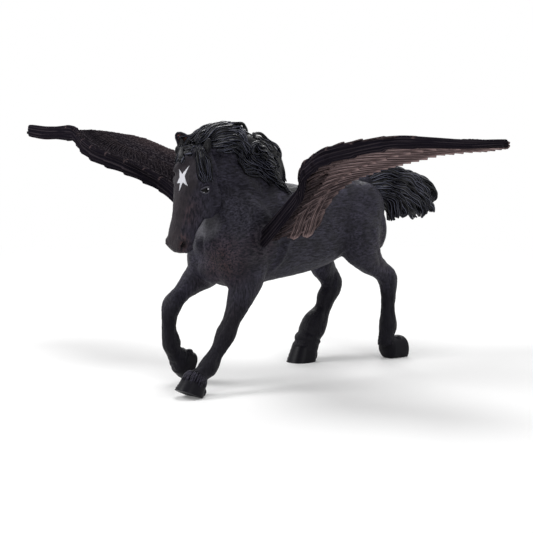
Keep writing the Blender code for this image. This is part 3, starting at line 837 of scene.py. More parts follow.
def makeEye(side, name):
    s = eyeSettings
    x, y, z = bodySettings["eyeSocket"][0]
    start = (x - 3, side * (y + 12) + horseSettings["headShift"], z)
    place, normal = surfaceAt(start, (0.25, -side, 0))
    centre = Vector(place - normal * (s["radius"] - s["show"]))
    ball = addBall(name, centre, s["radius"], 40, 24)
    outward = Vector(normal)
    sideways = outward.cross(Vector((0, 0, 1))).normalized()
    upward = sideways.cross(outward).normalized()
    template = addGrid("lidTemplate", 10, 24)
    lids = []
    for lid, (lift, bow) in s["lids"].items():
        path = []
        radii = []
        for t in np.linspace(-1, 1, 17):
            arch = 1 - t * t
            rim = s["radius"] * (0.3 + 0.5 * arch**0.5)
            raised = upward * (lift + bow * arch) + outward * rim
            path.append(centre + sideways * (s["lidReach"] * t) + raised)
            radii.append(s["lidWidth"] * (0.45 + 0.6 * arch))
        lids.append(rollTube(f"{name}_{lid}_lid", path, radii, template))
    dropTemplate(template[0])
    glints = []
    # Small white balls on the eye, painted glints
    for along, rise, radius in s["glints"]:
        way = (outward + sideways * along * side + upward * rise).normalized()
        glints.append(addBall(f"{name}_painted_glint", centre + way * s["radius"], radius, 16, 8))
    return ball, joinStrands(lids, f"{name}_lids"), joinPieces(glints, f"{name}_glint")


def framesAlong(path):
    # Directions across and above a path that turn with it and never flip
    tangents = np.gradient(path, axis=0)
    tangents /= np.maximum(np.linalg.norm(tangents, axis=1), 1e-9)[:, None]
    across = np.cross(tangents[0], (0.0, 1.0, 0.0))
    if np.linalg.norm(across) < 0.2:
        across = np.cross(tangents[0], (0.0, 0.0, 1.0))
    rows = []
    for tangent in tangents:
        across = across - tangent * (across @ tangent)
        across = across / np.linalg.norm(across)
        rows.append(across)
    rows = np.array(rows)
    return tangents, rows, np.cross(rows, tangents)


def rollTube(name, path, radii, template, lobes=0, lobeDepth=0.0, flat=1.0, twist=0.0):
    # A closed strand along a path: a grid rolled round it, pinched shut at both ends
    grid, u, v = template
    path = np.array([tuple(p) for p in path], float)
    tangents, across, above = framesAlong(path)
    last = len(path) - 1
    places = np.interp(v, (0, 0.02, 0.98, 1), (-0.3, 0, last, last + 0.3))
    inside = np.clip(places, 0, last)
    index = np.arange(len(path))

    def read(table):
        return np.stack([np.interp(inside, index, column) for column in table.T], axis=-1)

    centre = read(path) + read(tangents) * (places - inside)[:, None] * np.mean(radii)
    turn = (u + 1) * math.pi
    angle = turn + twist * v
    radius = np.interp(inside, index, np.array(radii, float)) * (1 + lobeDepth * np.cos(lobes * turn))
    radius = np.where((v < 0.0001) | (v > 0.9999), 0, radius)
    points = (centre + read(across) * (radius * np.cos(angle))[:, None]
              + read(above) * (flat * radius * np.sin(angle))[:, None])
    piece = copyShaped(grid, name, points)
    # Where a strand's lobes crest, for the hair's painted highlight
    markValues(piece, "ridge", 0.5 + 0.5 * np.cos(lobes * turn))
    return piece


def joinStrands(strands, name):
    joined = joinPieces(strands, name)
    editAll(joined, mergeDoubles, faceOutward)
    return joined


for side, name in ((-1, "left_eye"), (1, "right_eye")):
    ball, lids, glint = makeEye(side, name)
    keepPiece(ball, eyeMaterial)
    keepPiece(lids, lidMaterial)
    keepPiece(glint, starAndGlintMaterial)

starSettings = {
    # The star's outline on the forehead: distance to the horse's right and height
    "outline": [(-0.1, 103.9), (-2.6, 101.8), (-4.9, 105.6), (-4.1, 101.0), (-6.3, 96.6), (-3.9, 98.2),
                (-2.6, 94.2), (-2.5, 97.8), (-0.5, 97.6), (-1.5, 100.2)],
    "middle": (-3.0, 99.8),
    "perEdge": 4,
    "rings": 5,
    "lift": 0.05,
    "thickness": 0.00022,
}


def makeStar():
    # A thin coat of paint laid on the forehead, crisp at its edge
    s = starSettings
    outline, middle = np.array(s["outline"]), np.array(s["middle"])
    steps = np.arange(s["perEdge"]) / s["perEdge"]
    edge = [a + (b - a) * step for a, b in zip(outline, np.roll(outline, -1, axis=0)) for step in steps]
    grid, u, v = addGrid("forehead_star", len(edge), s["rings"])
    edge = np.array(edge + [edge[0]])
    turn = (u + 1) / 2 * (len(edge) - 1)
    rim = np.stack([np.interp(turn, np.arange(len(edge)), column) for column in edge.T], axis=-1)
    spots = []
    for y, z in middle + (rim - middle) * v[:, None]:
        place, normal = surfaceAt((-100, y, z), (1, 0, 0))
        spots.append(place + normal * s["lift"])
    writePoints(grid, spots)
    editAll(grid, mergeDoubles)
    addModifier(grid, "SOLIDIFY", thickness=s["thickness"], offset=0.0)
    applyModifiers(grid)
    editAll(grid, mergeDoubles, faceOutward)
    return grid


keepPiece(makeStar(), starAndGlintMaterial, 30)
print("face ready")

# Wings

wingSettings = {
    # Front edge from root to tip: x, distance out, upper z and depth
    "front": [(-30, 12, 69.5, 9), (-31, 26, 81, 8.8), (-32, 37, 90, 8), (-34.5, 46, 96.5, 7.2),
              (-41, 53.5, 102, 7), (-49, 62, 107.2, 7), (-55, 72, 111.3, 7), (-56, 81, 115.3, 6.8),
              (-50, 93, 118.3, 6.2), (-42, 107, 120.5, 5), (-37.5, 124, 120, 4), (-35, 141, 119.3, 3.2),
              (-33, 158.2, 119.8, 2.4)],
    # Feather tips from root to tip: x, distance out and z
    "rear": [(-2, 12, 66), (4.5, 21.5, 73), (7, 27, 83), (6.5, 35, 92), (6, 46, 98.7), (6, 58, 102.5),
             (6, 70, 105.8), (6, 82, 108.2), (7, 97, 111.7), (9, 113, 115), (9, 127, 117), (-6, 141, 119),
             (-32, 158.2, 119.5)],
    # Faces across and along the sheet, the arm, and the long and short feathers
    "grids": {"web": (72, 190), "arm": (52, 180), "long": (12, 18), "short": (6, 7)},
    "armWidth": 5.2,
    "scallops": 15,    # overlapping steps along the arm
    "handSwell": {-1: 1.1, 1: 1.8},   # the hand of the right wing is seen from its thick side
    "tipRim": {-1: 0.3, 1: 0.15},     # brown along the hand's lower edge
    # Long feathers of the hand: how many, the first root and how far the roots spread outward
    "handFeathers": 10,
    "handRoot": (-32.5, 96.0),
    "handSpread": 16.0,
    "handHalfWidth": 2.7,
    # Height above the sheet and relief of the hand's feathers, on top and under each wing
    "handTop": (0.25, 0.16),
    "handUnder": {-1: (0.9, 0.26), 1: (0.4, 0.26)},
    "crown": 1.6,
    "handDrop": 1.5,   # the hand's feathers start lower on the front edge
    "sheetShare": (0.06, 0.95),
    "sheetThickness": 0.0014,
    "scaleWidth": 2.3,
    "scaleRows": 17,
    "scaleHeight": 0.85,
    "bladeThickness": 0.0005,
    # Width of a feather along its length
    "bladeShares": (0, 0.1, 0.35, 0.7, 0.88, 0.95, 0.985, 1.0),
    "bladeWidths": (0.5, 0.75, 0.95, 1.0, 0.95, 0.8, 0.54, 0.12),
    # The two feathers that hang down by the barrel: root, tip, half width, lift, bend, relief, warmth
    "innermost": [
        ((41, 0.7), (19.5, 0.93), 3.4, 1.5, -1.2, 0.4, 1.0),
        ((40, 0.5), (19, 0.68), 3.0, 1.9, -1.0, 0.4, 0.8),
    ],
}
# Rows of feathers. Share is where they start and end between the front and the rear edge, out is
# the span of their roots, sweep how far out their tips go, and face is 1 above and -1 below
featherKeys = ("name", "face", "count", "out", "share", "sweep", "halfWidth",
               "lift", "relief", "warmth", "long")
featherRows = [dict(zip(featherKeys, row)) for row in (
    ("underFlight", -1, 23, (14, 92), (0.3, 0.96), (13, 34), 3.1, 0.8, 0.5, 0.85, True),
    ("underCover", -1, 17, (24, 104), (0.2, 0.66), (12, 24), 2.6, 1.45, 0.55, 0.95, True),
    ("underBarb", -1, 15, (14, 52), (0.12, 0.36), (6, 7), 1.25, 2.1, 0.4, 0.25, False),
    ("underEdge", -1, 16, (50, 118), (0.1, 0.3), (11, 13), 1.8, 1.9, 0.36, 0.5, False),
    ("upperFlight", 1, 17, (13, 104), (0.55, 0.985), (7, 16), 4.3, 0.45, 0.3, 0.35, True),
    ("upperCover", 1, 26, (13, 104), (0.6, 0.9), (5, 10), 2.9, 1.15, 0.32, 0.2, False),
    ("upperBarb", 1, 34, (13, 100), (0.1, 0.28), (5, 8), 1.7, 1.5, 0.42, 0.05, False),
    ("upperSecond", 1, 34, (13, 98), (0.2, 0.38), (5, 8), 1.7, 1.15, 0.36, 0.08, False),
    ("edgeCover", 1, 8, (50, 98), (0.05, 0.04), (11, 11), 1.8, 2.15, 0.2, 0.2, False),
)]
frontEdge = np.array(wingSettings["front"], float)
rearEdge = np.array(wingSettings["rear"], float)
frontSmooth = smoothRows(frontEdge, 6)
rearSmooth = smoothRows(rearEdge[:-2], 6)


def wingSpot(out, share):
    # Place on the wing in plan, from how far out it is and its share of the way back
    frontX = np.interp(out, frontSmooth[:, 1], frontSmooth[:, 0])
    rearX = np.interp(out, rearSmooth[:, 1], rearSmooth[:, 0])
    return np.array((frontX + (rearX - frontX) * share, out))


def wingHeight(x, out):
    # Height of the wing's middle sheet
    frontX, frontZ, depth = (np.interp(out, frontSmooth[:, 1], frontSmooth[:, k]) for k in (0, 2, 3))
    backX, backZ = (np.interp(out, rearSmooth[:, 1], rearSmooth[:, k]) for k in (0, 2))
    share = np.clip((x - frontX) / (backX - frontX), 0, 1.15)
    crown = wingSettings["crown"] * np.sin(math.pi * np.minimum(share, 1)) * np.minimum(1, (out - 12) / 40)
    crown = crown - wingSettings["handDrop"] * np.clip((out - 98) / 16, 0, 1)
    return frontZ - 0.35 * depth * (1 - share) + (backZ - frontZ) * share + crown


def scalePattern(across, back):
    # Small overlapping round feathers, like roof tiles, from 0 to 1 in height
    height = np.zeros(len(across))
    for step in (1, 0):
        row = np.floor(back) - step
        shifted = across + 0.5 * (row % 2) + 0.13 * np.sin(row * 2.3)
        off = (shifted - np.floor(shifted) - 0.5) * 2
        wander = 0.16 * np.sin(np.floor(shifted) * 5.1 + row * 3.7)
        along = (back - row - wander) / 1.5
        inside = (off**2 + np.maximum(along - 0.45, 0) ** 2 / 0.3) < 1
        tile = inside * (0.25 + 0.75 * np.clip(along, 0, 1)) * (1 - 0.3 * off**2)
        height = np.maximum(height, tile)
    return height


def makeWeb(side):
    # The sheet that carries the feathers, with small round ones on its upper face
    s = wingSettings
    grid, u, v = addGrid("web", *s["grids"]["web"])
    across = (u + 1) / 2
    front = readCurve(frontEdge[:, :3], v)
    rear = readCurve(rearEdge, v)
    low, high = s["sheetShare"]
    share = low + (high - low) * across
    x, out, _ = (front + (rear - front) * share[:, None]).T
    pattern = scalePattern(v * 150 / s["scaleWidth"], across * s["scaleRows"])
    z = wingHeight(x, out) + s["scaleHeight"] * pattern * ramp(v, 1, 0.85)
    writePoints(grid, np.stack([x, side * out, z], axis=-1))
    markValues(grid, "warmth", 0.04 + 0.1 * ramp(share, 0.5, 0.85))
    markValues(grid, "ridge", ramp(pattern, 0.6, 0.95))
    stretchMap(grid, 5, 8)
    addModifier(grid, "SOLIDIFY", thickness=s["sheetThickness"], offset=0.0)
    applyModifiers(grid)
    return grid


def makeArm(side):
    # The thick front edge: long streaks, a groove along its front and overlapping scallops
    s = wingSettings
    grid, u, v = addGrid("arm", *s["grids"]["arm"])
    edge = readCurve(frontEdge, v)
    angle = (u + 1) * math.pi
    c, sn = np.cos(angle), np.sin(angle)
    half = 0.5 * s["armWidth"] * (0.35 + 0.65 * edge[:, 3] / 11)
    high = 0.5 * edge[:, 3]
    swell = 1 + (s["handSwell"][side] - 1) * ramp(v, 0.68, 0.8) * (1 + ramp(v, 0.86, 0.98))
    streaks = np.sin(angle * 13 + 3 * np.sin(v * 13)) + 0.7 * np.sin(angle * 23 - 4 * np.sin(v * 9))
    saw = (v * s["scallops"]) % 1
    scallop = saw**2 * ramp(v, 0.2, 0.3) * ramp(v, 0.82, 0.77)
    grooveAt = math.pi - 0.22 - 0.12 * np.sin(v * 17)
    groove = np.exp(-(((angle - grooveAt) / 0.22) ** 2)) * ramp(v, 0.8, 0.6)
    closing = np.where((v < 0.001) | (v > 0.999), 0, 1)
    bulge = closing * (0.11 * streaks + (0.55 + 0.7 * (sn < 0)) * scallop - groove)
    x = edge[:, 0] + half + closing * half * squareUp(c, 0.83) + c * bulge
    z = edge[:, 2] - high + closing * high * swell * squareUp(sn, 0.83) + 0.7 * sn * bulge
    writePoints(grid, np.stack([x, side * edge[:, 1], z], axis=-1))
    rim = s["tipRim"][side] * ramp(v, 0.7, 0.9) * (sn < -0.9)
    rim = rim + 0.35 * (saw > 0.88) * (scallop > 0.02) * (sn > 0.5)
    markValues(grid, "warmth", np.clip(0.05 + rim, 0, 1))
    markValues(grid, "ridge", np.clip(0.4 * (streaks > 0.8) + rim, 0, 1))
    markValues(grid, "armShade", np.full(len(u), 0.62))
    stretchMap(grid, 2.5, 1)
    editAll(grid, mergeDoubles, faceOutward)
    return grid


def layBlade(template, name, side, face, root, tip, halfWidth, lift, bend, relief, warmth):
    # A feather laid on the wing from root to tip, on its upper or under face
    s = wingSettings
    grid, u, v = template
    v = 1 - (1 - v) ** 1.4
    root, tip = np.array(root, float), np.array(tip, float)
    run = tip - root
    sideways = unit(np.array((-run[1], run[0])))
    width = halfWidth * np.interp(v, s["bladeShares"], s["bladeWidths"])
    reach = width * u + bend * np.sin(math.pi * v)
    x = root[0] + run[0] * v + sideways[0] * reach
    out = root[1] + run[1] * v + sideways[1] * reach
    rounding = 1 - u * u
    shaft = np.exp(-((u / 0.13) ** 2)) * (1 - 0.7 * v)
    barbs = np.cos(u * math.pi * 3.0) * rounding
    crest = relief * (0.9 * shaft + 0.45 * barbs) + 0.5 * relief * rounding
    z = wingHeight(x, out) + face * (lift * (0.3 + 0.7 * v) + 0.2 * u * lift + crest)
    piece = copyShaped(grid, name, np.stack([x, side * out, z], axis=-1))
    edge = 0.7 * ramp(np.abs(u), 0.8, 0.95) + ramp(v, 0.9, 0.98)
    markValues(piece, "warmth", np.clip(warmth * (0.5 + 0.6 * v), 0, 1))
    markValues(piece, "ridge", np.clip(shaft + edge, 0, 1))
    return piece


def solidBlades(pieces, name):
    layer = joinPieces(pieces, name)
    addModifier(layer, "SOLIDIFY", thickness=wingSettings["bladeThickness"], offset=0.0)
    applyModifiers(layer)
    editAll(layer, faceOutward)
    return layer


def layRow(row, side, template):
    blades = []
    face, halfWidth = row["face"], row["halfWidth"]
    for i in range(row["count"]):
        along = i / (row["count"] - 1)
        out, sweep = (low + (high - low) * along for low, high in (row["out"], row["sweep"]))
        root = wingSpot(out, row["share"][0])
        tip = wingSpot(out + sweep, row["share"][1])
        warmth = row["warmth"] * min(1, max(0.5, (out - 10) / 38))
        if side > 0 and row["name"] == "edgeCover":
            warmth *= 0.2   # the front of the right wing is darker
        blades.append(layBlade(template, f"{row['name']}{i}", side, face, root, tip,
                               halfWidth * (1 + 0.08 * math.sin(i * 2.7)),
                               row["lift"] * (1 + 0.12 * math.sin(i * 1.9)), 0.18 * halfWidth * face,
                               row["relief"], warmth))
    return blades


def layHand(side, template):
    # The hand's long feathers run out to the wing's tip
    s = wingSettings
    x, out = s["handRoot"]
    blades = []
    for face, (lift, relief) in ((1, s["handTop"]), (-1, s["handUnder"][side])):
        for i, share in enumerate(np.linspace(0, 1, s["handFeathers"])):
            tip = readCurve(rearEdge, 0.78 + 0.215 * share)[:2]
            root = (x, out + s["handSpread"] * share)
            blades.append(layBlade(template, f"hand{i}", side, face, root, tip, s["handHalfWidth"], lift,
                                   2.0 * (1 - share), relief, 0.5))
    return blades


def makeWing(side, name):
    long = addGrid("longBlade", *wingSettings["grids"]["long"])
    short = addGrid("shortBlade", *wingSettings["grids"]["short"])
    layers = [makeWeb(side), makeArm(side)]
    blades = []
    for row in featherRows:
        blades += layRow(row, side, long if row["long"] else short)
    blades += layHand(side, long)
    for root, tip, *shape in wingSettings["innermost"]:
        blades.append(layBlade(long, "inmost", side, -1, wingSpot(*root), wingSpot(*tip), *shape))
    layers.append(solidBlades(blades, "feathers"))
    dropTemplate(long[0])
    dropTemplate(short[0])
    return joinPieces(layers, name)


for side, name in ((-1, "left_wing"), (1, "right_wing")):
    keepPiece(makeWing(side, name), featherMaterial, 45)
print("wings ready")

# Mane, forelock and tail

# Every strand's grid, the lobes round it and their depth, its flatness and the length of its waves
hairRuns = {"sides": 12, "rings": 40, "lobes": 3, "lobeDepth": 0.13, "flat": 0.9, "waveLength": (11, 16)}


def seenPlace(target, side, reach, cling):
    # Where the camera, or its mirror image, meets the body at a place. Past the body it is the place
    # itself, or the nearest skin for hair that clings.
    x, y, z = cameraSettings["place"]
    eye = np.array((x, side * abs(y), z))
    hit, normal, _, _ = bodyTree.ray_cast(Vector(toFrame(eye)), Vector(target - eye).normalized())
    if hit is None or np.linalg.norm(toHorse(hit) - target) > reach:
        if not cling:
            return np.array(target, float), np.array((0.0, float(side), 0.3))
        hit, normal, _, _ = bodyTree.find_nearest(Vector(toFrame(target)))
    return toHorse(hit), np.array(normal)


def layPath(route, side, rings, reach=9.0, cling=False, ease=3):
    # A smooth path over the body under a route, and the directions away from the body along it
    steps = np.linspace(0, 1, rings)
    found = [seenPlace(target, side, reach, cling) for target in readCurve(route, steps)]
    places, normals = (np.array(table) for table in zip(*found))
    for table in (places, normals):
        for _ in range(ease):
            table[1:-1] = (table[:-2] + 2 * table[1:-1] + table[2:]) / 4
    return places, normals / rowLengths(normals)[:, None]


def bundle(name, places, normals, template, rng, count, radius, spread, lift, wave, tipShare=0.3):
    # Strands side by side along one path, each with small waves of its own
    rings = len(places)
    steps = np.linspace(0, 1, rings)
    sideways = np.cross(normals, np.gradient(places, axis=0))
    sideways /= np.maximum(rowLengths(sideways), 1e-9)[:, None]
    length = rowLengths(np.diff(places, axis=0)).sum()
    lobes, lobeDepth, flat = (hairRuns[key] for key in ("lobes", "lobeDepth", "flat"))
    strands = []
    for k in range(count):
        off = (k - (count - 1) / 2) * spread
        phase = rng.uniform(0, math.tau)
        turning = math.tau * (length / rng.uniform(*hairRuns["waveLength"])) * steps + phase
        swing = off * (1 - 0.35 * steps**2) + wave * np.sin(turning)
        rise = lift + 0.6 * wave * np.cos(turning) + 0.45 * radius * (k % 2)
        path = places + sideways * swing[:, None] + normals * rise[:, None]
        taper = np.interp(steps, (0, 0.08, 0.8, 1), (0.55, 1, 0.9, tipShare))
        radii = radius * rng.uniform(0.85, 1.15) * taper
        twist = rng.uniform(-2, 2)
        strands.append(rollTube(f"{name}{k}", path, radii, template, lobes, lobeDepth, flat, twist))
    return strands


maneSettings = {
    # Each lock: distance out, places as x and z, strands, radius of a strand
    "locks": [
        (8, [(-51, 115.4), (-44.5, 115.7), (-38, 115.9), (-32, 115.3), (-30, 111.4), (-27.7, 108.2),
             (-21, 104.5), (-15.4, 102.6), (-12.5, 99), (-6.8, 94.8), (0.2, 90.8)], 3, 0.95),
        (8, [(-49, 116.4), (-43.5, 118.3), (-37, 117.8), (-32, 117), (-28.3, 113.7), (-26.6, 110.6),
             (-21, 107.3), (-17, 104.8), (-13.7, 101.5), (-9, 98), (-4.5, 94.7)], 3, 0.95),
        (7, [(-50, 117.4), (-44.5, 120.2), (-38, 119.9), (-32.6, 120), (-29.8, 117.3), (-28.5, 113.5),
             (-25, 110)], 3, 1.0),
        (4, [(-52, 117.6), (-46, 121.4), (-41, 122.9), (-34.8, 122.8), (-29.3, 122.7), (-26, 119.5),
             (-25, 115.5)], 4, 1.05),
        (8, [(-48, 113.9), (-41.3, 113.5), (-37, 113.9), (-33.2, 111.9), (-31.6, 106.8), (-29.4, 104.2),
             (-23.8, 103.4), (-19.4, 101.7), (-16, 98), (-10.2, 95.3)], 3, 0.85),
        (8, [(-47.5, 112.6), (-42.4, 111.8), (-38.7, 112.4), (-34.9, 111.2), (-33.2, 108.6), (-31, 103.7),
             (-29.4, 101.4), (-23.8, 100.3), (-18.2, 98.9), (-12, 94.8)], 2, 0.8),
        (5, [(-25, 116.4), (-18, 117.2), (-12.4, 115), (-7.8, 112.2), (-3.8, 109.2), (-4.2, 106)], 4, 1.0),
        (6, [(-24, 113.8), (-19, 114.4), (-14, 112), (-10, 109.4), (-7, 106.2), (-8, 103.4)], 4, 0.95),
        (7, [(-26, 112.6), (-23.4, 114.6), (-19.4, 114), (-17.8, 111.6), (-20.2, 109.9), (-23.4, 110.5),
             (-24, 112.2), (-21.8, 112.6)], 2, 0.8),
        (8, [(-25, 109.2), (-20, 109.2), (-14.5, 106.5), (-9.5, 104.3), (-6.3, 104.9)], 3, 0.9),
        (6, [(-13, 108), (-8.5, 104.2), (-7.4, 100.4), (-4.6, 97.3), (-2.6, 93.6)], 3, 0.85),
        (7, [(-17, 104.4), (-10, 100.9), (-6, 96.9), (-1, 92.6), (2, 89.6)], 3, 0.85),
        (3, [(-56.5, 115.4), (-53, 118.6), (-49, 120.6), (-44, 122), (-40, 122.6)], 3, 0.8),
    ],
    # The strands along the top of the neck, and the thick masses under the locks with their radius
    "crest": [(-54, 0, 116.4), (-50, 0, 119.6), (-43, 0, 123), (-36, 0, 123.4), (-29, 0, 122),
              (-22, 0, 118.6), (-15, 0, 115.4), (-8, 0, 110.4), (-1, 0, 102.6), (4, 0, 95.6)],
    "crestStrands": (7, 1.05, 1.5, -0.2, 0.5),   # count, radius, spread, lift and wave
    "lumps": [
        ([(-28, -1, 113.5), (-20, -2, 113), (-12, -2.5, 109.8), (-6.5, -2.5, 105.4), (-1.5, -2, 99),
          (2, -1, 94)], 7.0),
        ([(-55.5, 5.5, 112.5), (-52, 5, 115.6), (-48, 4, 117.6), (-43, 2, 118.6)], 3.4),
    ],
    "spread": 1.4,
    "wave": 0.5,
    "thin": 0.84,
}


def makeMane():
    s = maneSettings
    template = addGrid("strand", hairRuns["sides"], hairRuns["rings"] + 4)
    rng = np.random.default_rng(21)
    strands = []
    for side in (-1, 1):
        for number, (out, places, count, radius) in enumerate(s["locks"]):
            nudge = rng.uniform(-1.2, 1.2) if side > 0 else 0.0   # so the far side isn't a plain mirror
            route = [(x + nudge, side * out, z) for x, z in places]
            path, normals = layPath(route, side, hairRuns["rings"])
            strands += bundle(f"lock{side}_{number}_", path, normals, template, rng, count,
                              radius * s["thin"], s["spread"], 0.35, s["wave"])
    steps = np.linspace(0, 1, hairRuns["rings"])
    path = readCurve(s["crest"], steps)
    upward = np.tile((0.0, 0.0, 1.0), (len(path), 1))
    strands += bundle("crest", path, upward, template, rng, *s["crestStrands"])
    for route, radius in s["lumps"]:
        radii = radius * np.sin(math.pi * (0.14 + 0.72 * steps))
        strands.append(rollTube("lump", readCurve(route, steps), radii, template, 6, 0.1, 0.6))
    dropTemplate(template[0])
    return joinStrands(strands, "mane")


forelockSettings = {
    # Left, middle and right edges of the lock on the temple, and upper and lower edges of the swept one
    "temple": [
        [(-61.4, 10, 115), (-62.2, 10, 110), (-61.4, 10, 103.4), (-59.8, 10, 99.6), (-58, 10, 98)],
        [(-60.6, 11, 115), (-59.8, 11, 110.4), (-58.6, 11, 104.7), (-57.6, 11, 100.9), (-56.8, 11, 98.2)],
        [(-58.8, 11, 114), (-56.8, 11, 110.4), (-54.6, 11, 104.6), (-53.2, 11, 98.8)],
    ],
    "swept": [
        [(-56.8, -2, 116.6), (-61, -2, 114.6), (-65, -2, 112.4), (-68, -2, 110.6), (-69.6, -2, 109)],
        [(-59.5, -4, 111), (-63, -4, 111), (-66.5, -4, 110.4), (-69, -4, 109)],
    ],
    "templeStrands": 7,
    "sweptStrands": 4,
    # Count, radius, spread, lift, wave and share of the radius at the tip
    "templeStrand": (1, 0.85, 1, 0.45, 0.35, 0.55),
    "sweptStrand": (1, 1.5, 1, 0.3, 0.0, 0.6),
    "rings": 26,
    "reach": 12,
}


def makeForelock():
    s = forelockSettings
    template = addGrid("lock", 12, 30)
    rng = np.random.default_rng(5)
    steps = np.linspace(0, 1, s["rings"])
    strands = []
    left, middle, right = (readCurve(route, steps) for route in s["temple"])
    for side in (-1, 1):
        for i, share in enumerate(np.linspace(0, 2, s["templeStrands"])):
            mixed = left + (middle - left) * share if share < 1 else middle + (right - middle) * (share - 1)
            route = mixed[::5] * (1, side, 1)
            path, normals = layPath(route, side, s["rings"], s["reach"], True)
            strands += bundle(f"temple{side}_{i}_", path, normals, template, rng, *s["templeStrand"])
    upper, lower = (readCurve(route, steps) for route in s["swept"])
    for i, share in enumerate(np.linspace(0, 1, s["sweptStrands"])):
        route = (upper + (lower - upper) * share)[::5]
        path, normals = layPath(route, -1, s["rings"], s["reach"], True, 14)
        strands += bundle(f"swept{i}_", path, normals, template, rng, *s["sweptStrand"])
    dropTemplate(template[0])
    return joinStrands(strands, "forelock")


tailSettings = {
    # Locks as x and z in the plane 4 mm left of the middle; each is laid three deep
    "locks": [
        [(60, 94.5), (69, 98.8), (79, 98.8), (89.7, 97.4), (97.7, 95.4), (103.6, 92.3), (109, 88.3),
         (113, 84.6), (116, 81)],
        [(61, 94), (74, 97), (86.6, 95.7), (95, 93.4), (101.5, 89.6), (107, 85.3), (111.4, 81), (114, 77)],
        [(61.5, 93), (74.2, 94.6), (82.5, 94.4), (92, 92.6), (98.3, 89.4), (103.8, 85.3), (109, 80.8),
         (111.4, 75.8)],
        [(62, 92), (74.3, 92.3), (82.5, 91.3), (87.7, 89.6), (94.6, 87.4), (100.6, 84.2), (105, 81),
         (108.6, 77), (106.6, 73.2)],
        [(63, 91), (75.3, 90.3), (82.6, 88.8), (87, 86.4), (90, 84.2), (95.3, 81.4), (100.7, 77.6),
         (104.6, 74)],
        [(63, 90.5), (76, 89.3), (84, 87.3), (89.5, 83.4), (94, 79.4), (98.5, 75.6), (101.5, 73.6)],
        [(64, 90), (72, 88.5), (78.5, 87.4), (84.7, 85.6), (88.9, 82.7), (92, 79.3), (93, 76.1),
         (90.5, 74.4)],
        [(65, 89), (72, 87), (79.5, 85.3), (84.2, 83), (86.9, 80.2), (87.8, 77), (86.2, 74)],
        [(66, 88), (71, 86.2), (76.5, 83.6), (79.8, 80.8), (81.4, 77.5), (81.6, 74.8), (82.4, 72.6)],
        [(98, 95), (104.5, 93.9), (110, 91.8), (114, 89), (117.4, 86.8), (118.2, 84), (116.2, 82.8)],
        [(103, 88), (108, 84.5), (112.5, 80.5), (115.4, 78.2), (115.2, 75.6)],
    ],
    "layers": (-13.5, -10, -6.5),
    "outward": (-0.7, -0.7, 0.1),
    "radius": 0.95,
    "spread": 1.5,
    "wave": 0.5,
}


def makeTail():
    s = tailSettings
    template = addGrid("tailStrand", hairRuns["sides"], hairRuns["rings"] + 4)
    rng = np.random.default_rng(33)
    steps = np.linspace(0, 1, hairRuns["rings"])
    strands = []
    for number, places in enumerate(s["locks"]):
        for layer, y in enumerate(s["layers"]):
            path = readCurve([(x, 0, z) for x, z in places], steps)
            away = ramp(path[:, 0], 60, 88) ** 0.8
            path[:, 1] = y * away
            path[:, 0] += (path[:, 1] + 4) * away + 0.35 * rng.uniform(-1, 1) * away
            normals = np.tile(s["outward"], (len(path), 1))
            strands += bundle(f"tail{number}_{layer}_", path, normals, template, rng, 3, s["radius"],
                              s["spread"], 0.0, s["wave"], 0.5)
    dropTemplate(template[0])
    return joinStrands(strands, "tail")


# The right ear, which stands clear of the hair and shows its inside

earSettings = {
    "spine": [(-52.4, 6.8, 111.0), (-53.2, 6.8, 115.0), (-54.9, 7.3, 118.2), (-56.5, 8.1, 120.6)],
    "widths": [(0, 3.2), (0.3, 4.2), (0.6, 3.8), (0.8, 2.8), (0.92, 1.7), (1, 0.2)],
    "across": (0.62, -0.78, 0.0),
    "forward": (-0.78, -0.62, 0.1),
    "cup": 1.7,
    "thickness": 0.0009,
}


def makeEar():
    s = earSettings
    grid, u, v = addGrid("right_ear", 18, 20)
    half = np.interp(v, *zip(*s["widths"]))
    cup = s["cup"] * (u**2 - 0.6) * half / 3
    points = readCurve(s["spine"], v) + np.outer(half * u, s["across"]) + np.outer(cup, s["forward"])
    writePoints(grid, points)
    markValues(grid, "earInside", 0.8 * ramp(np.abs(u), 0.78, 0.58) * ramp(v, 0.9, 0.8))
    # Painted shade at the ear's root
    markValues(grid, "hollowShade", 0.5 * ramp(v, 0.25, 0.05))
    addModifier(grid, "SOLIDIFY", thickness=s["thickness"], offset=0.0)
    addModifier(grid, "SUBSURF", levels=1, render_levels=1)
    applyModifiers(grid)
    editAll(grid, faceOutward)
    return grid


# Fetlock hair

fringeSettings = {"hoof": "left_fore_hoof", "tufts": 34, "radius": 0.55, "above": 3.2, "below": 3.0}


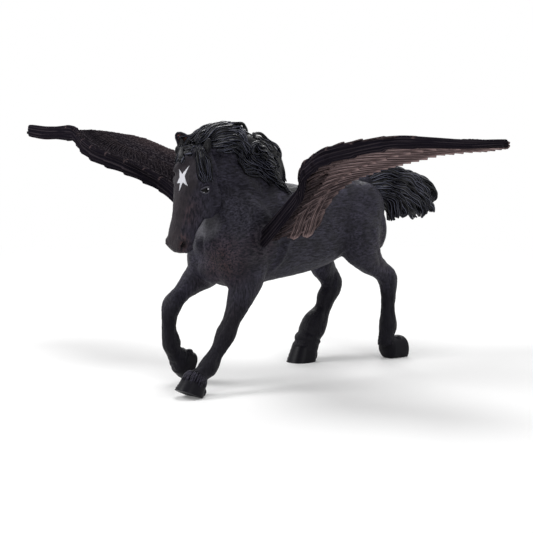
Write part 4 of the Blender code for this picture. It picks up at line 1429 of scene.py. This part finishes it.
def makeFringe():
    # Short tufts that hang from the planted fore hoof's coronet
    s, hoof = fringeSettings, hoofSettings
    template = addGrid("tuft", 8, 9)
    rng = np.random.default_rng(9)
    coronet, sole, toeAxis, size = hoofPlaces[s["hoof"]]
    coronet = np.array(coronet)
    rise = unit(coronet - sole)
    toeAxis = unit(np.array(toeAxis))
    toeAxis = toeAxis - rise * (toeAxis @ rise)
    sideAxis = np.array((0, 1, 0))
    steps = np.linspace(0, 1, 8)
    radii = np.interp(steps, (0, 0.4, 1), (0.5, 1, 0.25)) * s["radius"]
    tufts = []
    for k in range(s["tufts"]):
        angle = math.tau * (k + rng.uniform(-0.25, 0.25)) / s["tufts"]
        reach = hoof["toe"] if math.sin(angle) > 0 else hoof["heel"]
        way = size * (sideAxis * math.cos(angle) * hoof["halfWidth"] + toeAxis * math.sin(angle) * reach)
        below = s["below"] * rng.uniform(0.7, 1.2)
        lean = sideAxis * rng.uniform(-0.6, 0.6)
        path = [coronet + rise * s["above"] + way * 0.68,
                coronet + rise * 0.9 + way * 0.8,
                coronet - rise * 0.4 * below + way * 0.85 + lean * 0.5,
                coronet - rise * below + way * 0.87 + lean]
        path = readCurve(path, steps)
        path[:, 2] = np.maximum(path[:, 2], horseSettings["soleTrim"] + s["radius"])
        tufts.append(rollTube(f"tuft{k}", path, radii, template))
    dropTemplate(template[0])
    return joinStrands(tufts, "fetlock_hair")


keepPiece(makeFringe(), coatMaterial, 70)
keepPiece(makeMane(), hairMaterial, 70)
keepPiece(makeForelock(), hairMaterial, 70)
keepPiece(makeTail(), hairMaterial, 70)
keepPiece(makeEar(), coatMaterial, 70)
print("hair ready")

# Floor, light and camera

studioSettings = {
    "white": 1.0,
    "floorColour": 0.8,
    "floorFill": 0.14,
    "fadeStart": 0.22,
    "fadeEnd": 0.6,
    "worldStrength": 0.34,
    # Lamps: place in metres, size, power in watts
    "lamps": {
        "keyLamp": ((-0.62, 0.42, 0.58), 0.4, 4.6),
        "topLamp": ((0.0, -0.05, 0.95), 0.5, 3.8),
        "rimLamp": ((0.5, 0.45, 0.5), 0.4, 2.0),
        "sideLamp": ((-0.3, -0.9, 0.5), 0.4, 2.0),
    },
}


def seenRays(tree):
    # Rays to which the backdrop is plain white
    rays = addNode(tree, "ShaderNodeLightPath")
    seen = doMath(tree, "ADD", rays.outputs["Is Camera Ray"], rays.outputs["Is Glossy Ray"])
    return doMath(tree, "ADD", seen, rays.outputs["Is Transmission Ray"])


def makeFloor():
    s = studioSettings
    bpy.ops.object.select_all(action="DESELECT")
    bpy.ops.mesh.primitive_plane_add(size=6, location=(0, 0, 0))
    floor = bpy.context.object
    floor.name = "floor"
    material = bpy.data.materials.new("studioFloor")
    material.use_nodes = True
    tree = material.node_tree
    tree.nodes.clear()
    out = tree.nodes.new("ShaderNodeOutputMaterial")
    matt = addNode(tree, "ShaderNodeBsdfDiffuse", {"Color": (s["floorColour"],) * 3 + (1,)})
    glow = addNode(tree, "ShaderNodeEmission", {"Color": (1, 1, 1, 1), "Strength": s["floorFill"]})
    lit = addNode(tree, "ShaderNodeAddShader", {0: matt.outputs[0], 1: glow.outputs[0]})
    far = addNode(tree, "ShaderNodeEmission", {"Color": (1, 1, 1, 1), "Strength": s["white"]})
    spot = useGroup(tree, spotGroup, Place=(0.02, 0.02, 0.0), Radius=s["fadeStart"],
                    Blur=s["fadeEnd"] - s["fadeStart"])
    plain = addNode(tree, "ShaderNodeMixShader", {0: spot.outputs[0], 1: far.outputs[0], 2: lit.outputs[0]})
    final = addNode(tree, "ShaderNodeMixShader", {0: seenRays(tree), 1: matt.outputs[0], 2: plain.outputs[0]})
    tree.links.new(final.outputs[0], out.inputs["Surface"])
    floor.data.materials.append(material)


def makeWorld():
    s = studioSettings
    world = bpy.data.worlds.new("studioWorld")
    bpy.context.scene.world = world
    world.use_nodes = True
    tree = world.node_tree
    tree.nodes.clear()
    out = tree.nodes.new("ShaderNodeOutputWorld")
    soft = addNode(tree, "ShaderNodeBackground", {"Color": (1, 1, 1, 1), "Strength": s["worldStrength"]})
    white = addNode(tree, "ShaderNodeBackground", {"Color": (1, 1, 1, 1), "Strength": s["white"]})
    mix = addNode(tree, "ShaderNodeMixShader", {0: seenRays(tree), 1: soft.outputs[0], 2: white.outputs[0]})
    tree.links.new(mix.outputs[0], out.inputs["Surface"])


def makeLamps():
    for name, (place, size, power) in studioSettings["lamps"].items():
        bpy.ops.object.light_add(type="AREA", location=place)
        lamp = bpy.context.object
        lamp.name = name
        lamp.data.shape = "DISK"
        lamp.data.size = size
        lamp.data.energy = power
        aim = Vector((0, 0, 0.06)) - Vector(place)
        lamp.rotation_euler = aim.to_track_quat("-Z", "Y").to_euler()


def makeCamera():
    s = cameraSettings
    place, aim = Vector(toFrame(s["place"])), Vector(toFrame(s["aim"]))
    bpy.ops.object.camera_add(location=place)
    camera = bpy.context.object
    camera.rotation_euler = (aim - place).to_track_quat("-Z", "Y").to_euler()
    camera.data.lens = s["lens"]
    camera.data.sensor_width = 36
    camera.data.clip_start = 0.01
    bpy.context.scene.camera = camera


makeFloor()
makeWorld()
makeLamps()
makeCamera()
bpy.context.scene.view_settings.view_transform = "Standard"
print("studio ready")
